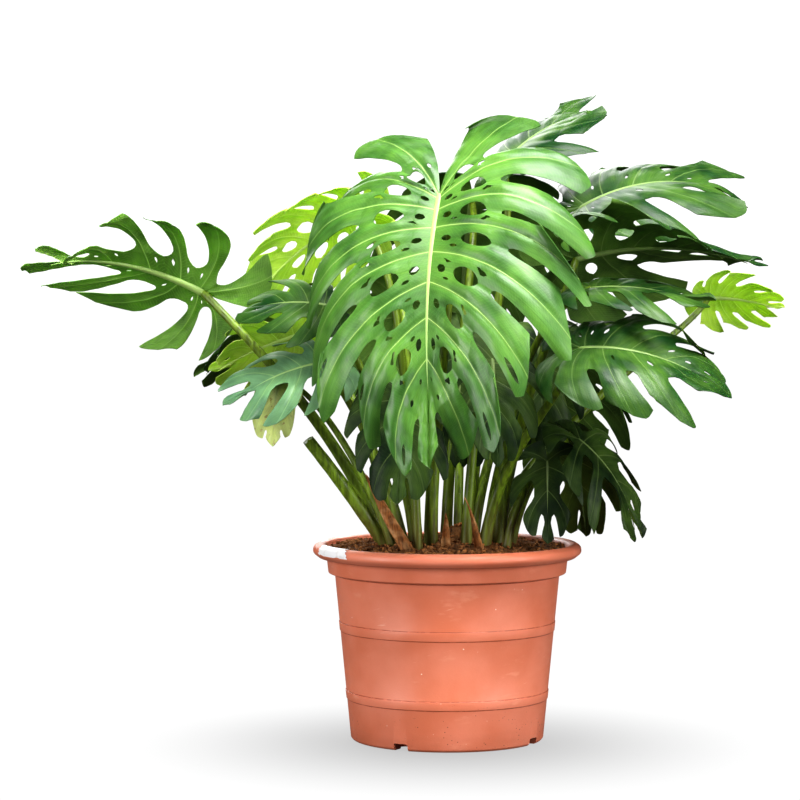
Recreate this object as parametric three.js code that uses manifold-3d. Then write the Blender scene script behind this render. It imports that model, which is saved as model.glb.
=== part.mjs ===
// A potted monstera: about two dozen split and perforated leaves on long stalks, standing in
// potting soil in a tapered plastic nursery pot with a rolled rim.
//
// Units are millimetres, +Z is up. The origin is the middle of the pot's underside, on the floor.
// The plant is seen from -Y: the large front leaf faces that way, and +X is to the right.
//
// Every leaf is one grown piece, stalk and blade together, and stands in its own plain hole in the soil.

import * as THREE from 'three';
import { mergeVertices } from 'three/addons/utils/BufferGeometryUtils.js';
import Module from 'manifold-3d';

const wasm = await Module();
wasm.setup();

// ---------------------------------------------------------------- driving dimensions

const FIT_GAP = 0.4; // clearance between pieces that touch
const RADIAN = Math.PI / 180;

const pot = {
  height: 330,
  rimRadius: 225, // outside of the rolled rim
  collarRadius: 202, // band under the rim
  collarFrom: 277,
  collarTo: 307,
  bodyTopRadius: 188,
  footRadius: 161,
  wall: 3.5,
  floorFrom: 8, // the underside is lifted between the middle disc and the foot ring
  floorTo: 14,
  discRadius: 70,
  footRingInner: 138,
  bandRise: 1.2, // the two shallow bands round the body
  bands: [[69, 84], [183, 199]],
  segments: 30,
  notchCount: 4,
  notchWidth: 26,
  notchHeight: 12,
  notchTurn: 61 * RADIAN,
};

const soil = {
  edgeHeight: 322,
  moundHeight: 18,
  moundRadius: 115,
  peak: { x: 24, y: -54, height: 28, radius: 30 },
  segments: 22,
};

const blade = {
  thickness: 1.2,
  ribDepth: 4.5, // how far the midrib stands out under the blade at the stalk
  ribDepthAtTip: 1.2,
  centre: 0.36, // the outline is nearly a circle round this point of the midrib
  outlineAtTip: 0.72, // its radius, both as shares of the midrib's length
  outlineAtBase: 0.82,
  waist: 0.1, // the outline is this much narrower across the middle
  uneven: 0.06, // and this much longer or shorter from lobe to lobe
  lastAngle: 166 * RADIAN, // where the outline ends, beside the stalk
  veinBow: 0.2, // how far the side veins arch
  baseDroop: 1.6, // the part behind the stalk bends down faster by this
  gapAtTip: 0.6, // the cuts beside the tip's lobe are this much narrower
  lobeArch: 0.14, // how far each lobe bulges upwards between its cuts
  lobeHang: 0.08, // how far the lobes' ends rise and hang, unlike one another
  lobeTurn: 0.03, // and how far they turn about their own veins
  lobePoint: 0.17, // how far the corners of a lobe's end are drawn back
  pointShift: 0.4, // how far its point lies towards the leaf's tip, of half a lobe
  reachOfCurl: 0.66, // where a side has turned down by its whole curl
};

const stalk = { inSoil: 70, aboveSoil: 14, taper: 0.52, sides: 5, steps: 6 };

const sheath = { thickness: 1.2, inSoil: 12, arc: 200 * RADIAN, columns: 4, rows: 5 };

// ---------------------------------------------------------------- the leaves

// at: where the stalk meets the blade. heading: compass way of the midrib, 0 along +X, 90 along +Y.
// pitch: its slope there, above the horizon. roll: turn about the midrib. length: of the midrib.
// droop and curl: how far the midrib and the sides turn downwards from root to end. root: where the
// stalk leaves the soil. lobes: side lobes in each half. split and gap: how far out the cuts start and
// how wide they stand open. holes: rows of holes beside the midrib. phase: makes its lobes its own.
const leaves = [
  { name: 'leaf_front_main', at: [-17, -235, 901], heading: -105, pitch: -52, roll: 8, length: 415,
    droop: 42, baseDroop: 0.5, curl: 72, lopsided: 0.1, fold: 12, lobes: 8, split: 0.42, gap: 0.24,
    holes: [[0.08, 0.3]], root: [-28, -70], radius: 11.5, phase: 4.15, color: '#4a9638', roughness: 0.35 },
  { name: 'leaf_left_reaching', at: [-409, 10, 748], heading: 176, pitch: 28, roll: 62, length: 285,
    width: 0.82, droop: 66, curl: 50, fold: 8, twist: -38, lobes: 5, split: 0.2, gap: 0.7,
    root: [-104, -10], lean: 0.9, knee: 30, radius: 11, phase: 1.6, color: '#3f7d3a', roughness: 0.45 },
  { name: 'leaf_left_dark', at: [-262, 187, 702], heading: 178, pitch: -14, roll: 22, length: 185,
    droop: 40, curl: 60, fold: 5, lobes: 4, split: 0.38, gap: 0.35,
    root: [-88, 55], radius: 9, phase: 2.9, color: '#1f4a26', roughness: 0.35 },
  { name: 'leaf_left_pale', at: [-255, 97, 675], heading: 188, pitch: -16, roll: 44, length: 150,
    droop: 22, curl: 30, fold: 0, lobes: 4, split: 0.45, gap: 0.3,
    root: [-86, 14], lean: 0.6, radius: 8, phase: 0.3, color: '#a9b65a', roughness: 0.5 },
  { name: 'leaf_left_grey', at: [-205, -110, 634], heading: 196, pitch: -8, roll: -35, length: 165,
    droop: 40, curl: 60, fold: 5, lobes: 4, split: 0.25, gap: 0.5,
    root: [-72, -72], lean: 0.6, radius: 9, phase: 4.1, color: '#5f7f62', roughness: 0.3 },
  { name: 'leaf_left_yellow', at: [-280, -95, 598], heading: -115, pitch: -72, roll: 0, length: 95,
    width: 0.7, droop: 20, curl: 30, fold: 0, lobes: 2, split: 0.65, gap: 0.12,
    root: [-92, -60], lean: 0.6, radius: 7, phase: 5.2, color: '#c3cc80', roughness: 0.6 },
  { name: 'leaf_left_lime', at: [-150, 130, 875], heading: 165, pitch: -20, roll: 38, length: 215,
    droop: 45, curl: 55, fold: 5, lobes: 6, split: 0.42, gap: 0.25, holes: [[0.12, 0.32]],
    root: [-50, 55], radius: 9, phase: 1.1, color: '#7da63c', roughness: 0.45 },
  { name: 'leaf_left_glossy', at: [-198, -130, 728], heading: 176, pitch: 10, roll: -38, length: 140,
    droop: 35, curl: 55, fold: 5, lobes: 4, split: 0.36, gap: 0.35,
    root: [-55, -22], radius: 9, phase: 3.3, color: '#2f5e3c', roughness: 0.3 },
  { name: 'leaf_right_high', at: [95, 95, 962], heading: 18, pitch: 50, roll: 10, length: 205,
    droop: 45, curl: 66, fold: 5, lobes: 5, split: 0.45, gap: 0.3,
    root: [40, 50], radius: 10, phase: 0.9, color: '#2c5f33', roughness: 0.35 },
  { name: 'leaf_right_upper', at: [230, 114, 892], heading: 2, pitch: 31, roll: 24, length: 290,
    droop: 58, curl: 65, fold: 6, lobes: 5, split: 0.34, gap: 0.35,
    root: [70, 35], radius: 10, phase: 2.2, color: '#2d6234', roughness: 0.35 },
  { name: 'leaf_right_under', at: [212, -42, 804], heading: 4, pitch: 16, roll: -40, length: 290,
    droop: 45, curl: 45, fold: 6, twist: 40, lobes: 5, split: 0.4, gap: 0.3, holes: [[0.12, 0.3]],
    root: [88, 5], radius: 10, phase: 5.5, color: '#2a5c30', roughness: 0.5 },
  { name: 'leaf_right_mid', at: [232, -140, 756], heading: -8, pitch: 6, roll: 12, length: 185,
    droop: 30, curl: 55, fold: 4, lobes: 4, split: 0.32, gap: 0.4,
    root: [84, -38], lean: 0.1, knee: 20, radius: 9, phase: 1.4, color: '#2c5f34', roughness: 0.35 },
  { name: 'leaf_right_broad', at: [212, -200, 660], heading: -18, pitch: 5, roll: 28, length: 240,
    droop: 50, curl: 60, fold: 6, lobes: 5, split: 0.42, gap: 0.25,
    root: [62, -72], radius: 10, phase: 3.8, color: '#265a31', roughness: 0.35 },
  { name: 'leaf_right_lime', at: [455, 170, 738], heading: 0, pitch: 0, roll: -40, length: 120,
    droop: 25, curl: 20, fold: 0, lobes: 5, split: 0.42, gap: 0.28,
    root: [100, 46], radius: 9, phase: 0.2, color: '#9dbb4c', roughness: 0.5 },
  { name: 'leaf_right_low', at: [218, -70, 505], heading: -10, pitch: -38, roll: 20, length: 180,
    droop: 45, curl: 60, fold: 4, lobes: 4, split: 0.25, gap: 0.5,
    root: [108, -15], radius: 7, phase: 2.6, color: '#1e4527', roughness: 0.4 },
  { name: 'leaf_right_fan', at: [163, -84, 470], heading: -88, pitch: -78, roll: 0, length: 125,
    width: 0.75, droop: 15, curl: 30, fold: 4, lobes: 3, split: 0.3, gap: 0.5,
    root: [97, -72], radius: 7, phase: 1.2, color: '#2a4a22', roughness: 0.4 },
  { name: 'leaf_inner_right', at: [154, 60, 660], heading: -80, pitch: -62, roll: 0, length: 165,
    width: 0.85, droop: 30, curl: 50, fold: 4, lobes: 4, split: 0.4, gap: 0.3,
    root: [46, 4], radius: 8, phase: 3.1, color: '#1f4826', roughness: 0.35 },
  { name: 'leaf_inner_middle', at: [22, -14, 655], heading: -98, pitch: -74, roll: 0, length: 190,
    width: 0.65, droop: 25, curl: 45, fold: 4, lobes: 3, split: 0.42, gap: 0.3,
    root: [18, -40], radius: 8, phase: 0.7, color: '#1e4426', roughness: 0.35 },
  { name: 'leaf_back_hanging', at: [210, 165, 490], heading: 48, pitch: -62, roll: 0, length: 165,
    droop: 20, curl: 35, fold: 4, lobes: 4, split: 0.35, gap: 0.25,
    root: [88, 72], radius: 8, phase: 4.4, color: '#24502b', roughness: 0.4 },
  { name: 'leaf_front_low', at: [70, -165, 640], heading: -80, pitch: -62, roll: 0, length: 165,
    width: 0.75, droop: 25, curl: 50, fold: 4, lobes: 4, split: 0.42, gap: 0.25,
    root: [30, -88], radius: 9, phase: 5.0, color: '#2a5f31', roughness: 0.35 },
  { name: 'leaf_front_left_low', at: [-72, -176, 580], heading: -100, pitch: -60, roll: 0, length: 165,
    width: 0.9, droop: 25, curl: 50, fold: 4, lobes: 4, split: 0.42, gap: 0.25,
    root: [-50, -95], radius: 8, phase: 0.5, color: '#2c6233', roughness: 0.35 },
  { name: 'leaf_back_high', at: [46, 238, 903], heading: 97, pitch: -40, roll: 0, length: 300,
    droop: 45, curl: 70, fold: 8, lobes: 6, split: 0.42, gap: 0.22,
    root: [0, 85], radius: 10, phase: 1.9, color: '#24542a', roughness: 0.4 },
  { name: 'leaf_back_left', at: [-85, 190, 730], heading: 100, pitch: -65, roll: 0, length: 200,
    droop: 45, curl: 50, fold: 6, lobes: 5, split: 0.42, gap: 0.22,
    root: [-56, 92], radius: 9, phase: 2.4, color: '#2b5f2e', roughness: 0.4 },
  { name: 'leaf_back_right', at: [175, 285, 640], heading: 62, pitch: -35, roll: 0, length: 240,
    droop: 40, curl: 50, fold: 6, lobes: 5, split: 0.42, gap: 0.22,
    root: [45, 98], radius: 9, phase: 3.6, color: '#2e6431', roughness: 0.4 },
];

// The thick stalk of a leaf that was cut off, between its two ends.
const cutStalk = { root: [-103, -42], end: [-231, -62, 505], radius: 10.5, holeRoom: 1.3 };

// Dry, curled leaf sheaths between the stalks. root and end as above; width: across the curl.
const sheaths = [
  { name: 'dry_sheath_left', root: [-70, -110], end: [-141, -118, 447], width: 10, facing: -60 },
  { name: 'dry_sheath_middle', root: [-4, -100], end: [-6, -112, 390], width: 8, facing: -90 },
  { name: 'dry_sheath_right', root: [52, -108], end: [30, -128, 418], width: 8, facing: -120 },
];

// The blank paper label stuck over the rim, along the rim in the pot's facets and across it by height.
const label = { from: -5.9, to: -4.1, thickness: 0.8, lowest: 315, torn: 0.08 };

// ---------------------------------------------------------------- small helpers

const mix = (a, b, share) => a + (b - a) * share;

/** A closed geometry as a manifold-3d solid. */
function solidOf(geometry) {
  const bare = geometry.index ? geometry.toNonIndexed() : geometry.clone();
  for (const name of Object.keys(bare.attributes)) {
    if (name !== 'position') bare.deleteAttribute(name);
  }
  const merged = mergeVertices(bare, 1e-4);
  const triVerts = withoutSlivers(merged.index.array);
  return new wasm.Manifold(new wasm.Mesh({
    numProp: 3,
    vertProperties: merged.attributes.position.array,
    triVerts: new Uint32Array(triVerts),
  }));
}

/** The triangles of an index whose three corners differ. */
function withoutSlivers(index) {
  const kept = [];
  for (let i = 0; i < index.length; i += 3) {
    const [a, b, c] = [index[i], index[i + 1], index[i + 2]];
    if (a !== b && b !== c && c !== a) kept.push(a, b, c);
  }
  return kept;
}

/** A manifold-3d solid as a geometry. */
function geometryOf(solid) {
  const mesh = solid.getMesh();
  const geometry = new THREE.BufferGeometry();
  geometry.setAttribute('position', new THREE.BufferAttribute(new Float32Array(mesh.vertProperties), 3));
  geometry.setIndex(new THREE.BufferAttribute(new Uint32Array(mesh.triVerts), 1));
  geometry.computeVertexNormals();
  return geometry;
}

/** The triangles of a grid of corners, counted row by row. */
function gridIndex(rows, columns) {
  const index = [];
  for (let row = 1; row < rows; row++) {
    for (let column = 1; column < columns; column++) {
      const [c, d] = [row * columns + column, row * columns + column - 1];
      const [a, b] = [d - columns, c - columns];
      index.push(a, b, c, a, c, d);
    }
  }
  return index;
}

/** A sheet's two faces, joined by walls along its open edges. depths: how far the top and the
 *  bottom lie from the sheet at each corner. */
function thickened(points, index, depths) {
  const sheet = new THREE.BufferGeometry();
  sheet.setAttribute('position', new THREE.Float32BufferAttribute(points, 3));
  sheet.setIndex(index);
  sheet.computeVertexNormals();
  const normals = sheet.attributes.normal.array;
  const count = points.length / 3;
  const corners = new Float32Array(points.length * 2);
  for (let i = 0; i < points.length; i++) {
    const [above, below] = depths[Math.floor(i / 3)];
    corners[i] = points[i] + normals[i] * above;
    corners[points.length + i] = points[i] - normals[i] * below;
  }
  const edges = new Map();
  const faces = [...index];
  for (let i = 0; i < index.length; i += 3) {
    const [a, b, c] = [index[i], index[i + 1], index[i + 2]];
    faces.push(a + count, c + count, b + count);
    for (const [from, to] of [[a, b], [b, c], [c, a]]) edges.set(from + '_' + to, [from, to]);
  }
  for (const [from, to] of edges.values()) {
    if (edges.has(to + '_' + from)) continue;
    faces.push(to, from, from + count, to, from + count, to + count);
  }
  const solid = new THREE.BufferGeometry();
  solid.setAttribute('position', new THREE.BufferAttribute(corners, 3));
  solid.setIndex(faces);
  return solid;
}

/** A round bar along points, its radius given at each: a cylinder bent onto them. */
function bentBar(points, radii, sides) {
  const steps = points.length - 1;
  const bar = new THREE.CylinderGeometry(1, 1, 1, sides, steps);
  const tangents = points.map((p, i) =>
    points[Math.min(i + 1, steps)].clone().sub(points[Math.max(i - 1, 0)]).normalize());
  const across = [new THREE.Vector3(0, 1, 0).cross(tangents[0]).normalize()];
  for (let i = 1; i <= steps; i++) {
    const turned = across[i - 1].clone().projectOnPlane(tangents[i]).normalize();
    across.push(turned);
  }
  const place = bar.attributes.position;
  for (let i = 0; i < place.count; i++) {
    const ring = Math.round((place.getY(i) + 0.5) * steps);
    const side = across[ring].clone().multiplyScalar(place.getX(i) * radii[ring]);
    const other = across[ring].clone().cross(tangents[ring]).multiplyScalar(place.getZ(i) * radii[ring]);
    const p = points[ring].clone().add(side).add(other);
    place.setXYZ(i, p.x, p.y, p.z);
  }
  return bar;
}

// ---------------------------------------------------------------- the pot

/** The pot's outer radius at a height on its tapered body. */
const bodyRadius = (z) => mix(pot.footRadius, pot.bodyTopRadius, z / pot.collarFrom);

/** The rolled rim's outline from under its lip, over the top and down the inside. */
const rimOutline = [
  [pot.rimRadius - 10, pot.collarTo - 1], [pot.rimRadius, pot.height - 16],
  [pot.rimRadius - 1, pot.height - 6], [pot.rimRadius - 11, pot.height],
  [pot.rimRadius - 21, pot.height - 3], [pot.collarRadius - pot.wall, pot.height - 14],
];

function potGeometry() {
  const { wall, bandRise } = pot;
  const outside = [
    [0, 0], [pot.discRadius, 0], [pot.discRadius + 4, pot.floorFrom],
    [pot.footRingInner - 4, pot.floorFrom], [pot.footRingInner, 0],
    [pot.footRadius - 3, 0], [bodyRadius(4), 4],
  ];
  for (const [from, to] of pot.bands) {
    outside.push([bodyRadius(from), from], [bodyRadius(from) + bandRise, from + 0.8],
      [bodyRadius(to) + bandRise, to - 0.8], [bodyRadius(to), to]);
  }
  const collar = [
    [pot.bodyTopRadius, pot.collarFrom], [pot.collarRadius - 3, pot.collarFrom + 3],
    [pot.collarRadius, pot.collarTo],
  ];
  const inside = [
    [pot.collarRadius - wall - 3, pot.collarFrom + 6.5],
    [pot.bodyTopRadius - wall, pot.collarFrom + 3.5],
    [bodyRadius(pot.floorTo) - wall, pot.floorTo], [0, pot.floorTo],
  ];
  const profile = [...outside, ...collar, ...rimOutline, ...inside].map(([r, z]) => new THREE.Vector2(r, z));
  const shell = new THREE.LatheGeometry(profile, pot.segments).rotateX(Math.PI / 2);
  let solid = solidOf(shell);
  const notch = new THREE.BoxGeometry(50, pot.notchWidth, 2 * pot.notchHeight);
  for (let i = 0; i < pot.notchCount; i++) {
    const turn = pot.notchTurn + (i / pot.notchCount) * 2 * Math.PI;
    const tool = notch.clone().translate(pot.footRadius, 0, 0).rotateZ(turn);
    solid = solid.subtract(solidOf(tool));
  }
  return geometryOf(solid);
}

// ---------------------------------------------------------------- the soil

/** The soil's height over a point: a low mound, a clod near the middle, and lumps. */
function soilHeight(x, y) {
  const { peak } = soil;
  const mound = soil.moundHeight * Math.exp(-(x * x + y * y) / soil.moundRadius ** 2);
  const clod = peak.height * Math.exp(-((x - peak.x) ** 2 + (y - peak.y) ** 2) / peak.radius ** 2);
  const lumps = 2.2 * Math.sin(x * 0.071 + 1) * Math.cos(y * 0.063) + 1.4 * Math.sin(x * 0.16 + y * 0.12);
  return soil.edgeHeight + mound + clod + lumps;
}

function soilGeometry() {
  const edge = pot.collarRadius - pot.wall - FIT_GAP - 3;
  const rings = [1, 0.9, 0.7, 0.48, 0.25, 0];
  const profile = [
    [0, pot.floorTo + FIT_GAP], [bodyRadius(pot.floorTo) - pot.wall - 1, pot.floorTo + FIT_GAP],
    [pot.bodyTopRadius - pot.wall - 1.2, pot.collarFrom + 4.5], [edge - 1.2, pot.collarFrom + 8],
    [edge + 1, pot.height - 16], ...rings.map((share) => [(edge + 4) * share, soil.edgeHeight]),
  ].map(([r, z]) => new THREE.Vector2(r, z));
  const heap = new THREE.LatheGeometry(profile, soil.segments).rotateX(Math.PI / 2);
  const place = heap.attributes.position;
  for (let i = 0; i < place.count; i++) {
    if (place.getZ(i) < soil.edgeHeight - 1) continue;
    const [x, y] = [place.getX(i), place.getY(i)];
    const r = Math.hypot(x, y) / edge;
    place.setZ(i, mix(soilHeight(x, y), soil.edgeHeight, Math.min(1, r * r * r * r)));
  }
  let solid = solidOf(heap);
  for (const hole of holes) solid = solid.subtract(hole);
  return geometryOf(solid);
}

// ---------------------------------------------------------------- the label

/** A point on the pot's faceted rim. turn: counted in facets from -Y towards +X. */
function rimPoint(turn, radius, z) {
  const ends = [Math.floor(turn), Math.floor(turn) + 1].map((facet) => {
    const angle = (facet / pot.segments) * 2 * Math.PI;
    return [radius * Math.sin(angle), -radius * Math.cos(angle)];
  });
  const share = turn - Math.floor(turn);
  return [mix(ends[0][0], ends[1][0], share), mix(ends[0][1], ends[1][1], share), z];
}

function labelGeometry() {
  const [, lip, shoulder, top, back] = rimOutline;
  const lowShare = (label.lowest - lip[1]) / (shoulder[1] - lip[1]);
  const rows = [
    [mix(lip[0], shoulder[0], lowShare), label.lowest], shoulder, top,
    [mix(top[0], back[0], 0.6), mix(top[1], back[1], 0.6)],
  ];
  const turns = [label.from, mix(label.from, -5, 0.5), -5, mix(-5, label.to, 0.5), label.to];
  const points = [];
  rows.forEach(([radius, z], row) => turns.forEach((turn, column) => {
    const ragged = label.torn * Math.sin(2.1 * row + 3.7 * column) * (column === 2 ? 0 : 1);
    points.push(...rimPoint(turn + ragged, radius, z));
  }));
  const depths = points.map(() => [FIT_GAP + label.thickness, -FIT_GAP]);
  return thickened(points, gridIndex(rows.length, turns.length), depths);
}

// ---------------------------------------------------------------- a leaf's blade

/** A smooth sway between -1 and 1 that differs from lobe to lobe and leaf to leaf. */
const sway = (leaf, along) =>
  0.7 * Math.sin(2.3 * along + 5 * leaf.phase) + 0.3 * Math.sin(5.1 * along + leaf.phase);

/** A point of the flat blade. along: 0 at the tip's lobe, 1, 2, ... at each side vein towards the
 *  stalk, halves between them. out: 0 on the midrib, 1 on the margin. */
function flatPoint(leaf, side, along, out) {
  const angle = blade.lastAngle * (along / (leaf.lobes + 0.5)) ** 1.3;
  const radius = mix(blade.outlineAtTip, blade.outlineAtBase, angle / blade.lastAngle)
    - blade.waist * Math.sin(angle) + blade.uneven * Math.min(1, along) * sway(leaf, along + side);
  const end = [blade.centre + radius * Math.cos(angle), radius * Math.sin(angle) * (leaf.width ?? 1)];
  const start = [0.85 * Math.max(0, 1 - along / (leaf.lobes - 0.5)) ** 1.6, 0];
  const span = [end[0] - start[0], end[1] - start[1]];
  const bow = blade.veinBow * Math.min(1, along);
  const middle = [start[0] + span[0] / 2 - bow * span[1], start[1] + span[1] / 2 + bow * span[0]];
  const point = [0, 1].map((k) =>
    (1 - out) ** 2 * start[k] + 2 * out * (1 - out) * middle[k] + out ** 2 * end[k]);
  return point.map((v) => v * leaf.length);
}

/** Where a blade point lies once the midrib arches, the sides curl and the lobes hang. */
function formedPoint(leaf, side, lobe, across, out) {
  const along = Math.abs(lobe + across / 2);
  // free: 0 where the lobes are still joined, 1 at their ends
  const free = Math.max(0, (out - leaf.split) / (1 - leaf.split));
  // A lobe ends in a point on the side towards the leaf's tip.
  const fromPoint = Math.abs(lobe > 0 ? across + blade.pointShift : across);
  const reach = 1 - blade.lobePoint * free ** 2 * fromPoint ** 1.3;
  const [x, y] = flatPoint(leaf, side, along, out * reach);
  const bulge = blade.lobeArch * (1 - across * across) * mix(0.1, 0.2, out) * Math.min(1, 3 * out);
  const own = lobe > 0 ? side : 0;
  const hang = free * leaf.length
    * (blade.lobeHang * sway(leaf, lobe + 0.4 * own) + blade.lobeTurn * across * sway(leaf, 2 * lobe + own));
  const curl = leaf.curl * (1 - side * (leaf.lopsided ?? 0));
  const halfWidth = blade.reachOfCurl * leaf.length;
  const [wide, rise] = bent(y, (v) => (leaf.fold - curl * (v / halfWidth) ** 1.5) * RADIAN);
  const high = rise + bulge * leaf.length + hang;
  const twist = ((leaf.twist ?? 0) * RADIAN * x) / leaf.length;
  const sideways = side * wide * Math.cos(twist) - high * Math.sin(twist);
  const up = side * wide * Math.sin(twist) + high * Math.cos(twist);
  // Behind the stalk the blade bends down too, mostly faster.
  const baseDroop = leaf.baseDroop ?? blade.baseDroop;
  const midribSlope = (v) => (-leaf.droop * (x < 0 ? baseDroop : 1) * (v / leaf.length)) * RADIAN;
  const [forward, fall] = bent(Math.abs(x), midribSlope);
  const turn = midribSlope(Math.abs(x)) * Math.sign(x);
  const ahead = Math.sign(x) * forward - up * Math.sin(turn);
  return new THREE.Vector3(ahead, sideways, fall + up * Math.cos(turn));
}

/** How far along and how high a line reaches that is bent to a slope given at each distance. */
function bent(distance, slopeAt) {
  const steps = 8;
  const end = [0, 0];
  for (let i = 0; i < steps; i++) {
    const slope = slopeAt(((i + 0.5) / steps) * distance);
    end[0] += (Math.cos(slope) * distance) / steps;
    end[1] += (Math.sin(slope) * distance) / steps;
  }
  return end;
}

/** The rows of a blade from midrib to margin: how far out each lies, and how wide the cuts between
 *  the lobes stand open there, as a share of half a lobe. */
function bladeRows(leaf) {
  const rows = [{ out: 0, gap: 0 }];
  for (const [from, to] of leaf.holes ?? []) {
    rows.push({ out: from, gap: 0 }, { out: mix(from, to, 0.5), gap: 0.5 }, { out: to, gap: 0 });
  }
  const { split, gap } = leaf;
  rows.push({ out: split, gap: 0 }, { out: mix(split, 1, 0.25), gap });
  if (leaf.length > 280) rows.push({ out: mix(split, 1, 0.65), gap: gap * 0.9 });
  rows.push({ out: 1, gap: gap * 0.8 });
  return rows;
}

/** How far the cut at a border stands open in a row. The last border is the leaf's own margin. */
function opening(leaf, border, row) {
  if (border > leaf.lobes + 0.5) return 0;
  return row.gap * (border > 1 ? 1 : blade.gapAtTip) * (1 + 0.3 * sway(leaf, border * 3));
}

/** How far the midrib stands out under the blade where a vein leaves it. */
function ribDepth(leaf, along) {
  const share = flatPoint(leaf, 1, along, 0)[0] / leaf.length;
  return mix(blade.ribDepth, blade.ribDepthAtTip, share) * leaf.radius / 10;
}

function bladeSolid(leaf, frame) {
  const rows = bladeRows(leaf);
  const points = [];
  const depths = [];
  const index = [];
  const seen = new Map();
  const corner = (side, lobe, across, row) => {
    const { out } = rows[row];
    const p = formedPoint(leaf, side, lobe, across, out).applyMatrix4(frame);
    const key = p.toArray().map((v) => Math.round(v * 100)).join();
    if (!seen.has(key)) {
      seen.set(key, points.length / 3);
      points.push(p.x, p.y, p.z);
      const rib = out > 0 ? 0 : ribDepth(leaf, lobe + across / 2);
      depths.push([blade.thickness / 2, blade.thickness / 2 + rib]);
    }
    return seen.get(key);
  };
  for (const side of [1, -1]) {
    for (let lobe = 0; lobe <= leaf.lobes; lobe++) {
      for (let row = 1; row < rows.length; row++) {
        // across runs from the border nearer the tip to the one nearer the stalk
        const strip = (r) => {
          const near = -1 + opening(leaf, lobe, rows[r]);
          const far = 1 - opening(leaf, lobe + 1, rows[r]);
          return lobe > 0 ? [near, 0, far] : [0, far];
        };
        const inner = strip(row - 1).map((across) => corner(side, lobe, across, row - 1));
        const outer = strip(row).map((across) => corner(side, lobe, across, row));
        for (let k = 1; k < inner.length; k++) {
          const [a, b, c, d] = [inner[k - 1], outer[k - 1], outer[k], inner[k]];
          if (side > 0) index.push(a, b, c, a, c, d);
          else index.push(c, b, a, d, c, a);
        }
      }
    }
  }
  return solidOf(thickened(points, withoutSlivers(index), depths));
}

// ---------------------------------------------------------------- a whole leaf

/** The frame of a blade: x along the midrib, z out of the upper face, at the stalk's end. */
function bladeFrame(leaf) {
  const [heading, pitch, roll] = [leaf.heading, leaf.pitch, leaf.roll].map((v) => v * RADIAN);
  const turn = new THREE.Matrix4().makeRotationZ(heading)
    .multiply(new THREE.Matrix4().makeRotationY(-pitch))
    .multiply(new THREE.Matrix4().makeRotationX(roll));
  return turn.setPosition(...leaf.at);
}

/** The stalk's centre line: straight in the soil, then one bow up to the blade. */
function stalkLine(leaf, frame) {
  const [x, y] = leaf.root;
  const out = new THREE.Vector3(x, y, soilHeight(x, y));
  const end = new THREE.Vector3(...leaf.at);
  const reach = end.clone().sub(out);
  const leaning = reach.clone().normalize().multiplyScalar(leaf.lean ?? 0.35);
  const rise = leaning.add(new THREE.Vector3(0, 0, 0.5)).normalize();
  const knee = (leaf.knee ?? 60) * RADIAN;
  const meet = new THREE.Vector3(Math.cos(knee), 0, Math.sin(knee)).transformDirection(frame);
  const start = out.clone().addScaledVector(rise, stalk.aboveSoil);
  const bow = new THREE.CubicBezierCurve3(start,
    start.clone().addScaledVector(rise, 0.4 * reach.length()),
    end.clone().addScaledVector(meet, -Math.min(130, 0.3 * reach.length())),
    end.clone().addScaledVector(meet, 2));
  return { below: out.clone().addScaledVector(rise, -stalk.inSoil), rise, bow };
}

function stalkSolid(leaf, line) {
  const points = [line.below, ...line.bow.getPoints(stalk.steps)];
  const base = leaf.radius;
  const radii = points.map((p, i) => base * mix(1, stalk.taper, Math.max(0, i - 1) / stalk.steps));
  return solidOf(bentBar(points, radii, stalk.sides));
}

/** A plain hole in the soil, from just under a piece's lower end to above the surface. */
function soilHole(below, rise, depth, wide) {
  const points = [-FIT_GAP, depth + 40].map((v) => below.clone().addScaledVector(rise, v));
  return solidOf(bentBar(points, [wide, wide], stalk.sides));
}

// ---------------------------------------------------------------- the cut stalk and the dry sheaths

/** A straight piece's two ends: one in the soil, the other where it stops. */
function straightLine(piece, inSoil) {
  const [x, y] = piece.root;
  const out = new THREE.Vector3(x, y, soilHeight(x, y));
  const end = new THREE.Vector3(...piece.end);
  const rise = end.clone().sub(out).normalize();
  return { below: out.clone().addScaledVector(rise, -inSoil), out, end, rise };
}

/** The cut stalk swells a little at its root and ends in a slanted cut. */
function cutStalkSolid(line) {
  const points = [line.below, line.out, line.out.clone().lerp(line.end, 0.5), line.end];
  const bar = bentBar(points, [1.1, 1.1, 1, 0.9].map((share) => share * cutStalk.radius), stalk.sides + 2);
  return solidOf(bar);
}

/** A trough that tapers to a point, bent outwards at its end. */
function sheathSolid(piece, line) {
  const face = new THREE.Vector3(Math.cos(piece.facing * RADIAN), Math.sin(piece.facing * RADIAN), 0);
  const front = face.projectOnPlane(line.rise).normalize();
  const side = new THREE.Vector3().crossVectors(line.rise, front);
  const points = [];
  for (let row = 0; row <= sheath.rows; row++) {
    const up = row / sheath.rows;
    const width = piece.width * Math.sqrt(1 - 0.93 * up ** 2);
    const arc = sheath.arc * (1 - 0.5 * up);
    const middle = line.below.clone().lerp(line.end, up).addScaledVector(front, piece.width * 1.4 * up ** 3);
    for (let column = 0; column <= sheath.columns; column++) {
      const angle = (column / sheath.columns - 0.5) * arc;
      const p = middle.clone().addScaledVector(side, width * Math.sin(angle))
        .addScaledVector(front, width * (0.5 - Math.cos(angle)));
      points.push(p.x, p.y, p.z);
    }
  }
  const depths = points.map(() => [sheath.thickness / 2, sheath.thickness / 2]);
  return solidOf(thickened(points, gridIndex(sheath.rows + 1, sheath.columns + 1), depths));
}

// ---------------------------------------------------------------- assembly

const plant = new THREE.Group();

function addPiece(name, geometry, color, roughness) {
  const material = new THREE.MeshStandardMaterial({ color, roughness, metalness: 0 });
  const mesh = new THREE.Mesh(geometry, material);
  mesh.name = name;
  plant.add(mesh);
}

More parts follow.
